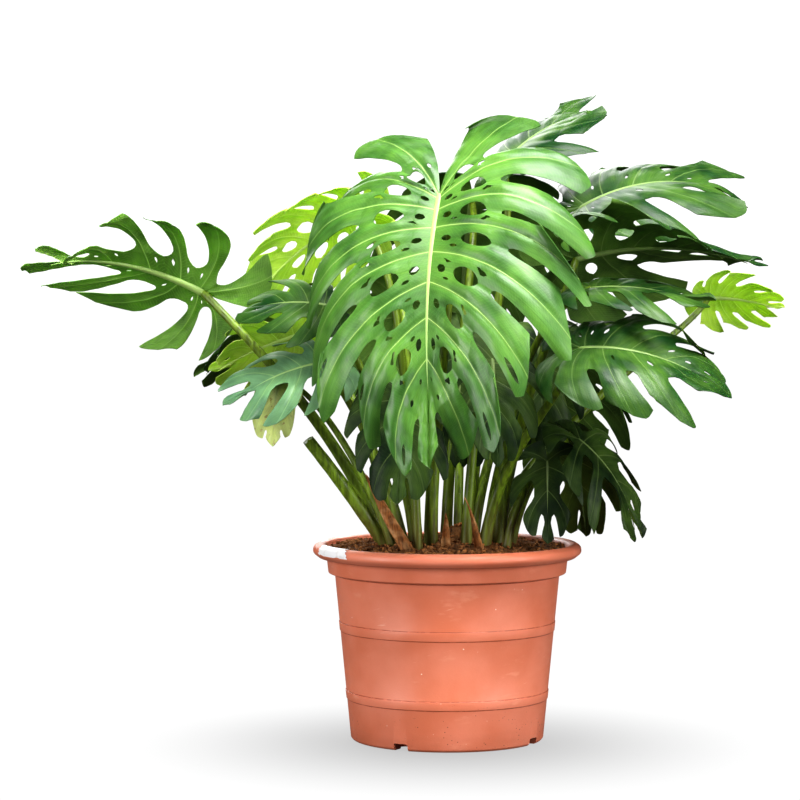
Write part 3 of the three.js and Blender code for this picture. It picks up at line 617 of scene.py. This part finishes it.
def label_paper():
    """Coated label paper: near white and smooth, faintly creased, with faint stains in patches."""
    material, _, coord = blank("Label paper, blank")
    base = picked("label")
    stain = ramp(grains(coord, 14, 4), 0.55, 0.75, 0.0, 0.45)
    tone = blend(stain, base, colour("#c9bdb4"))
    return surfaced(material, tone, 0.5, bumped(grains(coord, 7, 3), 0.4), {})


# ---------------------------------------------------------------- a leaf


def sway(leaf, along):
    """A smooth sway between -1 and 1 that differs from lobe to lobe and leaf to leaf."""
    return 0.7 * np.sin(2.3 * along + 5 * leaf["phase"]) + 0.3 * np.sin(5.1 * along + leaf["phase"])


def flat_point(leaf, side, along, out):
    """A point of the flat blade. along: 0 at the tip's lobe, 1, 2, ... at each side vein towards the stalk,
    halves between them. out: 0 on the midrib, 1 on the margin."""
    last = math.radians(FAN["last"])
    angle = last * (along / (leaf["lobes"] + 0.5)) ** 1.3
    radius = mix(0.72, 0.82, angle / last) - 0.1 * np.sin(angle)
    radius = radius + 0.06 * np.minimum(1, along) * sway(leaf, along + side)
    end_x = FAN["centre"] + radius * np.cos(angle)
    end_y = radius * np.sin(angle) * leaf.get("width", 1)
    start = 0.85 * np.maximum(0, 1 - along / (leaf["lobes"] - 0.5)) ** 1.6
    bow = 0.2 * np.minimum(1, along)
    mid_x = start + (end_x - start) / 2 - bow * end_y
    mid_y = end_y / 2 + bow * (end_x - start)
    x = (1 - out) ** 2 * start + 2 * out * (1 - out) * mid_x + out**2 * end_x
    y = 2 * out * (1 - out) * mid_y + out**2 * end_y
    return x * leaf["length"], y * leaf["length"]


def bent(distance, slope_at):
    """How far along and how high a line reaches that is bent to a slope given at each distance."""
    steps = 8
    reach, rise = 0.0, 0.0
    for i in range(steps):
        slope = np.radians(slope_at((i + 0.5) / steps * distance))
        reach = reach + np.cos(slope) * distance / steps
        rise = rise + np.sin(slope) * distance / steps
    return reach, rise


def shaped(leaf, side, x, y, lift):
    """Where a point of the flat blade lies once its half curls and its midrib arches, in the leaf's frame."""
    size = leaf["length"]
    curl = leaf["curl"] * (1 - side * leaf.get("lopsided", 0))
    wide, rise = bent(np.maximum(y, 0), lambda v: leaf["fold"] - curl * (v / (0.66 * size)) ** 1.5)
    high = rise + lift
    twist = np.radians(leaf.get("twist", 0) * x / size)
    sideways = side * wide * np.cos(twist) - high * np.sin(twist)
    up = side * wide * np.sin(twist) + high * np.cos(twist)
    droop = leaf["droop"] * np.where(x < 0, leaf.get("base_droop", 1.6), 1.0)
    forward, fall = bent(np.abs(x), lambda v: -droop * v / size)
    turn = -np.radians(droop * np.abs(x) / size) * np.sign(x)
    return np.stack([np.sign(x) * forward - up * np.sin(turn), sideways, fall + up * np.cos(turn)], axis=-1)


def opening(leaf, border, out):
    """How far the cut or the holes at a border between lobes stand open, as a share of half a lobe."""
    if border > leaf["lobes"] + 0.5:
        return out * 0
    own = 1 + 0.3 * sway(leaf, border * 3)
    wide = leaf["gap"] * (0.6 if border <= 1 else 1) * own
    start = np.clip((out - leaf["split"]) / (1 - leaf["split"]), 0, 1)
    rounded = np.sqrt(1 - (1 - np.clip(start / 0.16, 0, 1)) ** 2)
    open_here = wide * rounded * (1.1 - 0.45 * start + 0.3 * start**6)
    if border > 1:
        for low, high, width in leaf.get("oval", ()):
            open_here = np.maximum(open_here, width * own * oval(out, low, high))
    return open_here


def oval(out, low, high):
    """The half width of an oval hole between low and high, as a share of its widest."""
    return np.sqrt(np.maximum(0, 1 - ((2 * out - low - high) / (high - low)) ** 2))


def pore(leaf, side, lobe, mark, out):
    """Half the width of the small holes and slits inside a lobe, on one side of its vein. Some lobes have
    them and some have not."""
    chance = random.Random(f"{leaf['name']} {side} {lobe} {mark}")
    wide = out * 0
    for low, high, width in leaf.get("pore", ()):
        # Slits near the margin are only in the lobes next to the tip.
        lobes = range(1, 4 if low > 0.7 else leaf["lobes"] + 1)
        if chance.random() < 0.55 and lobe in lobes:
            shift = chance.uniform(-0.01, 0.01)
            wide = np.maximum(wide, width * chance.uniform(0.7, 1.1) * oval(out, low + shift, high + shift))
    return wide


def rows_of(leaf):
    """How far out each row of faces lies, closer together at the ends of holes and cuts."""
    marks = {0.0, leaf["split"], mix(leaf["split"], 1, 0.3), 0.9, 1.0}
    for low, high, _ in (*leaf.get("oval", ()), *leaf.get("pore", ())):
        marks |= {low, high}
    marks = sorted(marks)
    rows = [0.0]
    for low, high in zip(marks, marks[1:]):
        steps = max(3, round((high - low) * leaf["length"] / 9))
        rows += [low + (high - low) * (1 - math.cos(math.pi * i / steps)) / 2 for i in range(1, steps + 1)]
    return np.array(rows)


def blade_point(leaf, side, lobe, across, half, out):
    """A point of the formed blade in the leaf's frame, and its distance from the side vein.
    across: -1 to 1 over the lobe. half: how far the lobe reaches that way there."""
    size = leaf["length"]
    along = np.abs(lobe + across / 2)
    free = np.maximum(0, (out - leaf["split"]) / (1 - leaf["split"]))
    point = LOBE_POINT * np.abs(across + (0.4 if lobe else 0)) ** 1.3
    reach = out * (1 - free**2 * point)
    x, y = flat_point(leaf, side, along, reach)
    vein_x, vein_y = flat_point(leaf, side, np.abs(lobe + 0 * across), reach)
    away = np.hypot(x - vein_x, y - vein_y)
    bulge = RELIEF["bulge"] * (1 - across**2) * mix(0.1, 0.2, out) * np.minimum(1, 3 * out)
    own = side if lobe else 0
    hang = free * RELIEF["hang"] * sway(leaf, lobe + 0.4 * own)
    tilt = free * RELIEF["tilt"] * across * sway(leaf, 2 * lobe + own)
    inner = np.minimum(1, 4 * out)
    quilted = 1.0 if leaf["tone"] == "bright" else 0.75
    groove = -RELIEF["groove"] * quilted * np.exp(-((away / (0.012 * size)) ** 2)) * inner
    pillow = RELIEF["pillow"] * quilted * np.sin(np.pi / 2 * np.abs(across) / half) * inner
    waves = np.sin(29 * out + 5.3 * along) + 0.8 * np.sin(12.7 * along - 8 * out)
    crinkle = RELIEF["crinkle"] * waves * inner
    rim = free**2 * np.abs(across / half) ** 3
    rolled = RELIEF["roll"] * rim * sway(leaf, 1.7 * lobe + own + np.sign(across))
    lift = (bulge + hang + tilt + groove + pillow + crinkle + rolled) * size
    return shaped(leaf, side, x, y, lift), away


def leaf_frame(leaf):
    """x along the midrib, z out of the upper face, at the stalk's end."""
    turn = (Matrix.Rotation(math.radians(leaf["heading"]), 3, "Z")
            @ Matrix.Rotation(math.radians(-leaf["pitch"]), 3, "Y")
            @ Matrix.Rotation(math.radians(leaf["roll"]), 3, "X"))
    return np.array(turn)


def placed(leaf, points):
    """Points of the leaf's frame where they lie in the scene, in metres."""
    return (points @ leaf_frame(leaf).T + np.array(leaf["at"])) * MM


def strip(bm, leaf, side, lobe, marks, rows):
    """One strip of a lobe's faces, between two of the lines that run out along it."""
    uvs = {}

    def edge(mark, outward, out):
        near = 1 - opening(leaf, lobe, out)
        far = 1 - opening(leaf, lobe + 1, out)
        half = near if mark < 0 or (mark == 0 and outward < 0) else far
        if abs(mark) == 1 or mark == 0:
            return mark * half, half
        wide = pore(leaf, side, lobe, mark, out)
        return mark * half + outward * wide, half

    def place(u, v):
        if side > 0:
            u = 1 - u
        out = np.interp(v, np.linspace(0, 1, len(rows)), rows)
        start, half = edge(marks[0], 1, out)
        end, _ = edge(marks[1], -1, out)
        across = mix(start, end, u)
        points, away = blade_point(leaf, side, lobe, across, half, out)
        share = leaf["length"] / LARGEST["length"]
        sizes = bpy.context.scene.monstera_sizes
        vein_half = sizes.vein / MM / 2 * mix(1, 0.4, out) * share**0.4
        uvs["u"] = np.sign(across) * away * MM
        uvs["v"] = out * leaf["length"] * 0.8 * MM
        return placed(leaf, points), away / vein_half, out

    verts = lay_out(bm, STRIP_COLUMNS, len(rows) - 1, place, ["vein", "out"])
    where = {vert: (uvs["u"][i], uvs["v"][i]) for i, vert in enumerate(verts)}
    layer = bm.loops.layers.uv["veins"]
    for face in faces_of(verts):
        for loop in face.loops:
            loop[layer].uv = where[loop.vert]


def blade(bm, leaf):
    """The blade: both halves, lobe by lobe, welded where they aren't cut, then given its thickness."""
    rows = rows_of(leaf)
    for side in (1, -1):
        for lobe in range(leaf["lobes"] + 1):
            marks = (-1, -0.5, 0, 0.5, 1) if lobe else (0, 0.5, 1)
            for pair in zip(marks, marks[1:]):
                strip(bm, leaf, side, lobe, pair, rows)
    bmesh.ops.remove_doubles(bm, verts=bm.verts, dist=5e-5)
    bmesh.ops.dissolve_degenerate(bm, edges=bm.edges, dist=1e-5)
    thickness = bpy.context.scene.monstera_sizes.blade
    bm.normal_update()
    for vert in bm.verts:
        vert.co += vert.normal * thickness / 2
    upper = bm.faces[:]
    made = bmesh.ops.solidify(bm, geom=upper, thickness=thickness)["geom"]
    for face in made:
        if isinstance(face, bmesh.types.BMFace):
            face.material_index = 1


def midrib(bm, leaf):
    """The pale rib: raised a little on the upper face and more under it, from the stalk to the tip."""
    steps = 48
    share = np.linspace(0, 1, steps + 1)
    x = mix(-0.02, 1.0, share) * leaf["length"]
    flat = np.zeros_like(x)
    low = shaped(leaf, 1, x, flat, flat)
    normal = shaped(leaf, 1, x, flat, flat + 1) - low
    tangent = np.gradient(low, axis=0)
    tangent /= np.linalg.norm(tangent, axis=1)[:, None]
    sideways = np.cross(normal, tangent)
    sizes = bpy.context.scene.monstera_sizes
    half = sizes.rib / MM / 2 * leaf["radius"] / LARGEST["radius"]
    half = half * np.clip((leaf["length"] / 300) ** 0.3, 0.7, 1)
    half = half * (1 - 0.88 * share) * np.minimum(1, 0.4 + share * 25)
    half = half[:, None]
    centre = low - normal * half * 0.35
    turn = leaf_frame(leaf).T
    tube(bm, placed(leaf, centre), sideways @ turn * half * MM * -1, normal @ turn * half * 0.85 * MM, 12, 3)


def stalk_line(leaf):
    """The stalk's middle, from just under the soil to the blade, in metres."""
    out = Vector(on_soil(*leaf["root"]))
    end = Vector(leaf["at"])
    reach = end - out
    rise = (reach.normalized() * leaf.get("lean", 0.35) + Vector((0, 0, 0.5))).normalized()
    knee = math.radians(leaf.get("knee", 60))
    meet = Vector(leaf_frame(leaf) @ np.array((math.cos(knee), 0, math.sin(knee))))
    start = out + rise * BURIED["stalk"]
    corners = [start, start + rise * 0.4 * reach.length, end - meet * min(130, 0.3 * reach.length),
               end - meet * 1.5]
    share = np.linspace(0, 1, 49)[:, None]
    weights = ((1 - share) ** 3, 3 * share * (1 - share) ** 2, 3 * share**2 * (1 - share), share**3)
    bow = sum(w * np.array(c) for w, c in zip(weights, corners))
    below = np.array([out - rise * BURIED["stalk"], out - rise * 2])
    return np.concatenate([below, bow]) * MM


def stalk(bm, leaf):
    """The stalk: wider where it leaves the soil, with a slight knuckle under the blade."""
    points = stalk_line(leaf)
    share = np.linspace(0, 1, len(points))
    radii = leaf["radius"] * (1 - 0.48 * share) * (1 + 0.1 * np.exp(-((share / 0.05) ** 2)))
    radii = radii * (1 + 0.14 * np.exp(-(((share - 0.965) / 0.03) ** 2)))
    round_bar(bm, points, radii * MM, 16, 2, lumps=0.03)


# ---------------------------------------------------------------- operators


class MONSTERA_OT_leaves(bpy.types.Operator):
    """Make every leaf: its blade, midrib and stalk as one piece"""

    bl_idname = "monstera.leaves"
    bl_label = "Leaves"

    def execute(self, context):
        stem = stalk_skin()
        skins = {}
        for tone in SLOTS:
            skins[tone] = [leaf_skin(tone, False), leaf_skin(tone, True), stem, rib_skin(tone)]
        for leaf in LEAVES:
            bm = bmesh.new()
            for name in ("vein", "out", "along"):
                bm.verts.layers.float.new(name)
            bm.loops.layers.uv.new("veins")
            blade(bm, leaf)
            midrib(bm, leaf)
            stalk(bm, leaf)
            node = "leaf_" + leaf["name"]
            piece("monstera_" + node, bm, skins[leaf["tone"]], [node], 60)
        return {"FINISHED"}


class MONSTERA_OT_cut_stalk(bpy.types.Operator):
    """Make the thick stub of the stalk that was cut off"""

    bl_idname = "monstera.cut_stalk"
    bl_label = "Cut stalk"

    def execute(self, context):
        bm = bmesh.new()
        bm.verts.layers.float.new("along")
        out = on_soil(*CUT_STALK["root"])
        end = np.array(CUT_STALK["end"])
        rise = (end - out) / np.linalg.norm(end - out)
        share = np.linspace(0, 1, 30)
        below = out - rise * BURIED["stalk"]
        points = below + share[:, None] * (end - below)
        points[:, 2] += 4 * np.sin(share * math.pi)
        radii = CUT_STALK["radius"] * (1.14 - 0.2 * share + 0.08 * np.exp(-((share / 0.06) ** 2)))
        round_bar(bm, points * MM, radii * MM, 20, 0, lumps=0.06)
        # The cut face, hollowed and ragged.
        cut = max(bm.faces, key=lambda f: f.calc_center_median().z)
        bmesh.ops.inset_individual(bm, faces=[cut], thickness=1.6 * MM, depth=0)
        cut.material_index = 1
        bmesh.ops.inset_individual(bm, faces=[cut], thickness=3 * MM, depth=-2.5 * MM)
        chance = random.Random(3)
        for vert in bm.verts:
            if vert.co.z > (end[2] - 8) * MM:
                vert.co += Vector(rise) * chance.uniform(-2.5, 1.5) * MM
        piece("cut_stalk_stub", bm, [stalk_skin(), dry_sheath_skin()], ["cut_stalk"])
        return {"FINISHED"}


class MONSTERA_OT_sheaths(bpy.types.Operator):
    """Make the dry, curled sheaths between the stalks"""

    bl_idname = "monstera.sheaths"
    bl_label = "Dry sheaths"

    def execute(self, context):
        skin = dry_sheath_skin()
        for own in SHEATHS:
            bm = bmesh.new()
            self.trough(bm, own)
            name = "dry_sheath_" + own["name"]
            piece(name + "_curl", bm, [skin], [name])
        return {"FINISHED"}

    def trough(self, bm, own):
        out = on_soil(*own["root"])
        end = np.array(own["end"], float)
        rise = (end - out) / np.linalg.norm(end - out)
        below = out - rise * BURIED["sheath"]
        facing = math.radians(own["facing"])
        face = np.array((math.cos(facing), math.sin(facing), 0))
        front = face - rise * face.dot(rise)
        front /= np.linalg.norm(front)
        side = np.cross(rise, front)

        def place(u, v):
            frayed = np.array([noise.noise(Vector((a * 9, b * 3, own["width"]))) for a, b in zip(u, v)])
            up = v * (1 + 0.05 * frayed * v**3)
            width = own["width"] * np.sqrt(1 - 0.93 * np.minimum(1, up) ** 2) * (1 + 0.12 * frayed)
            angle = (u - 0.5) * math.radians(200) * (1 - 0.5 * v) + 1.1 * v
            middle = below + up[:, None] * (end - below) + front * (own["width"] * 1.4 * v**3)[:, None]
            wide, deep = (width * np.sin(angle))[:, None], (width * (0.5 - np.cos(angle)))[:, None]
            return (middle + side * wide + front * deep) * MM,

        lay_out(bm, 18, 44, place)
        bmesh.ops.solidify(bm, geom=bm.faces[:], thickness=0.9 * MM)
        bmesh.ops.recalc_face_normals(bm, faces=bm.faces)


class MONSTERA_OT_pot(bpy.types.Operator):
    """Make the nursery pot: turned, with its corners rounded and its foot notched"""

    bl_idname = "monstera.pot"
    bl_label = "Pot"

    def execute(self, context):
        bm = bmesh.new()
        turned(bm, POT_PROFILE, context.scene.monstera_sizes.pot_steps)
        pot = piece("nursery_pot", bm, [pot_plastic()], ["pot"], 35)
        self.notch(pot)
        return {"FINISHED"}

    def notch(self, pot):
        bm = bmesh.new()
        for i in range(NOTCH["count"]):
            turn = math.radians(NOTCH["turn"] + 360 * i / NOTCH["count"])
            block = bmesh.ops.create_cube(bm, size=1)["verts"]
            size = (NOTCH_BLOCK["length"], NOTCH["width"], 2 * NOTCH["height"])
            bmesh.ops.scale(bm, verts=block, vec=[side * MM for side in size])
            ends = [e for e in bm.edges if set(e.verts) <= set(block) and self.upper_corner(e)]
            made = bmesh.ops.bevel(bm, geom=ends, offset=NOTCH_BLOCK["corner"] * MM, offset_type="OFFSET",
                                   affect="EDGES", segments=3, profile=0.5, material=-1)
            block = list({v for v in (*block, *made["verts"]) if v.is_valid})
            bmesh.ops.translate(bm, verts=block, vec=(NOTCH_BLOCK["away"] * MM, 0, 0))
            bmesh.ops.rotate(bm, verts=block, cent=(0, 0, 0), matrix=Matrix.Rotation(turn, 3, "Z"))
        cutter = linked("notches", bm)
        cut = pot.modifiers.new("Notches", "BOOLEAN")
        cut.operation = "DIFFERENCE"
        cut.object = cutter
        cut.solver = "EXACT"
        graph = bpy.context.evaluated_depsgraph_get()
        mesh = bpy.data.meshes.new_from_object(pot.evaluated_get(graph))
        pot.modifiers.clear()
        pot.data = mesh
        bpy.data.objects.remove(cutter)

    def upper_corner(self, edge):
        a, b = edge.verts
        return abs(a.co.x - b.co.x) > 0.8 * NOTCH_BLOCK["length"] * MM and a.co.z > 0


class MONSTERA_OT_soil(bpy.types.Operator):
    """Make the soil's lumpy surface and the bark chips that lie on it"""

    bl_idname = "monstera.soil"
    bl_label = "Soil"

    def execute(self, context):
        bm = bmesh.new()
        shares = [1 - (i / SOIL_RINGS) ** 1.05 for i in range(SOIL_RINGS)]
        rings = [(SOIL_RADIUS * share, SOIL_TOP, 0) for share in shares]
        turned(bm, [*SOIL_SIDE, *rings, (0, SOIL_TOP, 0)], 300)
        for vert in bm.verts:
            if vert.co.z > (SOIL_TOP - 0.5) * MM:
                self.heap(vert)
        for face in bm.faces:
            face.material_index = 0
        self.scatter(bm, context.scene.monstera_sizes.chips)
        skins = [peat("Peat, damp and crumbly", "soil", 5), peat("Shredded bark", "bark", 14)]
        piece("potting_soil", bm, skins, ["soil"], 80)
        return {"FINISHED"}

    def heap(self, vert):
        """Raises a point of the flat surface to its place on the mound, with its lumps and crumbs."""
        x, y = vert.co.x / MM, vert.co.y / MM
        share = min(1, math.hypot(x, y) / SOIL_RADIUS)
        z = mix(float(soil_height(x, y)), SOIL_TOP, share**4)
        spot = Vector((x, y, 0))
        lumps = 4.5 * noise.noise(spot / 19) + 3.2 * noise.noise(spot / 8) + 2.0 * noise.noise(spot / 3.5)
        crumbs = 2.5 * abs(noise.noise(spot / 11 + Vector((9, 2, 4))))
        vert.co.z = (z + (lumps + crumbs) * (1 - share**12) - 1.5) * MM

    def scatter(self, bm, count):
        """Strews crumbs over the soil, with a long chip among them now and then."""
        chance = random.Random(11)
        for _ in range(count):
            far = (SOIL_RADIUS - 5) * math.sqrt(chance.random())
            angle = chance.uniform(0, 2 * math.pi)
            x, y = far * math.cos(angle), far * math.sin(angle)
            z = mix(float(soil_height(x, y)), SOIL_TOP, (far / SOIL_RADIUS) ** 4) + chance.uniform(-0.5, 2.5)
            long = chance.uniform(2, 5.5) if chance.random() < 0.93 else chance.uniform(6, 12)
            wide = long * (chance.uniform(0.45, 0.9) if long < 6 else chance.uniform(0.15, 0.4))
            thick = wide * chance.uniform(0.5, 0.9)
            turn = Matrix.Rotation(chance.uniform(0, 2 * math.pi), 4, "Z")
            pitch = Matrix.Rotation(chance.gauss(0, 0.35), 4, "Y")
            roll = Matrix.Rotation(chance.gauss(0, 0.5), 4, "X")
            shape = Matrix.Diagonal((long * MM, wide * MM, thick * MM, 1))
            spot = Matrix.Translation((x * MM, y * MM, z * MM))
            laid = spot @ (turn @ (pitch @ roll)) @ shape
            chip = bmesh.ops.create_icosphere(bm, subdivisions=1, radius=1, matrix=laid)["verts"]
            for vert in chip:
                vert.co += Vector([chance.uniform(-0.15, 0.15) * wide * MM for _ in range(3)])
            for face in faces_of(chip):
                face.material_index = 1 if chance.random() < 0.7 else 0


class MONSTERA_OT_label(bpy.types.Operator):
    """Make the blank, torn label that is stuck over the rim"""

    bl_idname = "monstera.label"
    bl_label = "Rim label"

    def execute(self, context):
        bm = bmesh.new()
        heights = np.linspace(0, 1, len(LABEL_PATH))
        radius_at, z_at = np.array(LABEL_PATH, float).T

        def place(u, v):
            ragged = np.array([noise.noise(Vector((5 * a, 7 * b, 3))) for a, b in zip(u, v)])
            ends = (2 * u - 1) ** 5
            slant = LABEL["lean"] * (v - 0.5)
            turn = np.radians(LABEL["middle"] + LABEL["half"] * (2 * u - 1) - slant + 3.0 * ragged * ends)
            up = np.clip(v + 0.12 * ragged * (2 * v - 1) ** 4, 0, 1)
            lifted = 0.4 + 1.2 * np.maximum(0, ragged) * np.abs(ends)
            radius = np.interp(up, heights, radius_at) + lifted
            z = np.interp(up, heights, z_at) + lifted * up
            return np.stack([radius * np.sin(turn), -radius * np.cos(turn), z], axis=-1) * MM,

        lay_out(bm, 40, 20, place)
        bmesh.ops.solidify(bm, geom=bm.faces[:], thickness=-LABEL["paper"] * MM)
        bmesh.ops.recalc_face_normals(bm, faces=bm.faces)
        piece("rim_label_paper", bm, [label_paper()], ["rim_label"])
        return {"FINISHED"}


class MONSTERA_OT_stage(bpy.types.Operator):
    """Make the pale floor, the soft studio light and the camera"""

    bl_idname = "monstera.stage"
    bl_label = "Stage"

    def execute(self, context):
        self.floor()
        for light in LIGHTS:
            self.light(*light)
        self.camera(context)
        self.room(context)
        context.scene.view_settings.view_transform = "Standard"
        context.scene.view_settings.look = "Medium High Contrast"
        return {"FINISHED"}

    def room(self, context):
        """A white room to the eye, which lights the plant only dimly, so that its inside stays dark."""
        world = bpy.data.worlds.new("Studio")
        context.scene.world = world
        world.use_nodes = True
        tree = world.node_tree
        tree.nodes.clear()
        seen = add(tree, "LightPath").outputs["Is Camera Ray"]
        dim = add(tree, "Background", {"Color": (0.93, 0.96, 1, 1), "Strength": 0.04})
        white = add(tree, "Background", {"Color": (1, 1, 1, 1), "Strength": 1.0})
        both = add(tree, "MixShader", {0: seen, 1: dim.outputs[0], 2: white.outputs[0]})
        add(tree, "OutputWorld", {"Surface": both.outputs[0]})

    def floor(self):
        bm = bmesh.new()
        bmesh.ops.create_circle(bm, cap_ends=True, radius=FLOOR_RADIUS, segments=64)
        floor = linked("floor", bm)
        # Pale paper that fades into the bright studio behind it, and throws little light back at the plant.
        # Near the pot its glow is dimmer, centred a little in front of the axis: a painted soft shadow round
        # the pot.
        material, tree, coord = blank("Backdrop paper, painted pot shadow")
        shadow_centred = add(tree, "Mapping", {"Vector": coord, "Location": (0, 0.07, 0)}).outputs[0]
        away = add(tree, "VectorMath", {"Vector": shadow_centred}, operation="LENGTH").outputs["Value"]
        seen = add(tree, "LightPath").outputs["Is Camera Ray"]
        paper = add(tree, "BsdfDiffuse", {"Color": (0.4, 0.4, 0.4, 1)}).outputs[0]
        # Painted shadow: the glow is dimmest at the pot and full by 0.6 m out.
        shade = ramp(away, -0.05, 0.6, 0.46, 0.86)
        strength = times(ramp(seen, 0.0, 1.0, 0.1, 1.0), shade)
        glow = add(tree, "Emission", {"Color": (1, 1, 1, 1), "Strength": strength}).outputs[0]
        both = add(tree, "MixShader", {0: ramp(away, 0.1, 0.6, 0.95, 1.0), 1: paper, 2: glow})
        add(tree, "OutputMaterial", {"Surface": both.outputs[0]})
        floor.data.materials.append(material)

    def light(self, name, place, size, watts):
        lamp = bpy.data.lights.new(name, "AREA")
        lamp.shape = "SQUARE"
        lamp.size = size
        lamp.energy = watts
        obj = bpy.data.objects.new(name, lamp)
        obj.location = place
        obj.rotation_euler = (LIT - Vector(place)).to_track_quat("-Z", "Y").to_euler()
        bpy.context.scene.collection.objects.link(obj)

    def camera(self, context):
        lens = bpy.data.cameras.new("Camera")
        lens.lens = CAMERA["lens"]
        lens.sensor_width = CAMERA["sensor"]
        eye = bpy.data.objects.new("Camera", lens)
        eye.location = CAMERA["place"]
        eye.rotation_euler = (Vector(CAMERA["target"]) - eye.location).to_track_quat("-Z", "Y").to_euler()
        context.scene.collection.objects.link(eye)
        context.scene.camera = eye


class MONSTERA_PT_panel(bpy.types.Panel):
    """The plant's pieces, colours and sizes"""

    bl_idname = "MONSTERA_PT_panel"
    bl_label = "Potted monstera"
    bl_space_type = "VIEW_3D"
    bl_region_type = "UI"
    bl_category = "Monstera"

    def draw(self, context):
        for group in (context.scene.monstera_colours, context.scene.monstera_sizes):
            for name in group.bl_rna.properties.keys():
                if name not in ("rna_type", "name"):
                    self.layout.prop(group, name)
        for operator in OPERATORS:
            self.layout.operator(operator.bl_idname)


OPERATORS = (MONSTERA_OT_pot, MONSTERA_OT_soil, MONSTERA_OT_label, MONSTERA_OT_leaves, MONSTERA_OT_cut_stalk,
             MONSTERA_OT_sheaths, MONSTERA_OT_stage)
CLASSES = (MonsteraColours, MonsteraSizes, *OPERATORS, MONSTERA_PT_panel)


def register():
    for cls in CLASSES:
        bpy.utils.register_class(cls)
    bpy.types.Scene.monstera_colours = PointerProperty(type=MonsteraColours)
    bpy.types.Scene.monstera_sizes = PointerProperty(type=MonsteraSizes)


def unregister():
    del bpy.types.Scene.monstera_sizes
    del bpy.types.Scene.monstera_colours
    for cls in reversed(CLASSES):
        bpy.utils.unregister_class(cls)


def main():
    register()
    for operator in OPERATORS:
        group, name = operator.bl_idname.split(".")
        getattr(getattr(bpy.ops, group), name)()


if __name__ == "__main__":
    main()
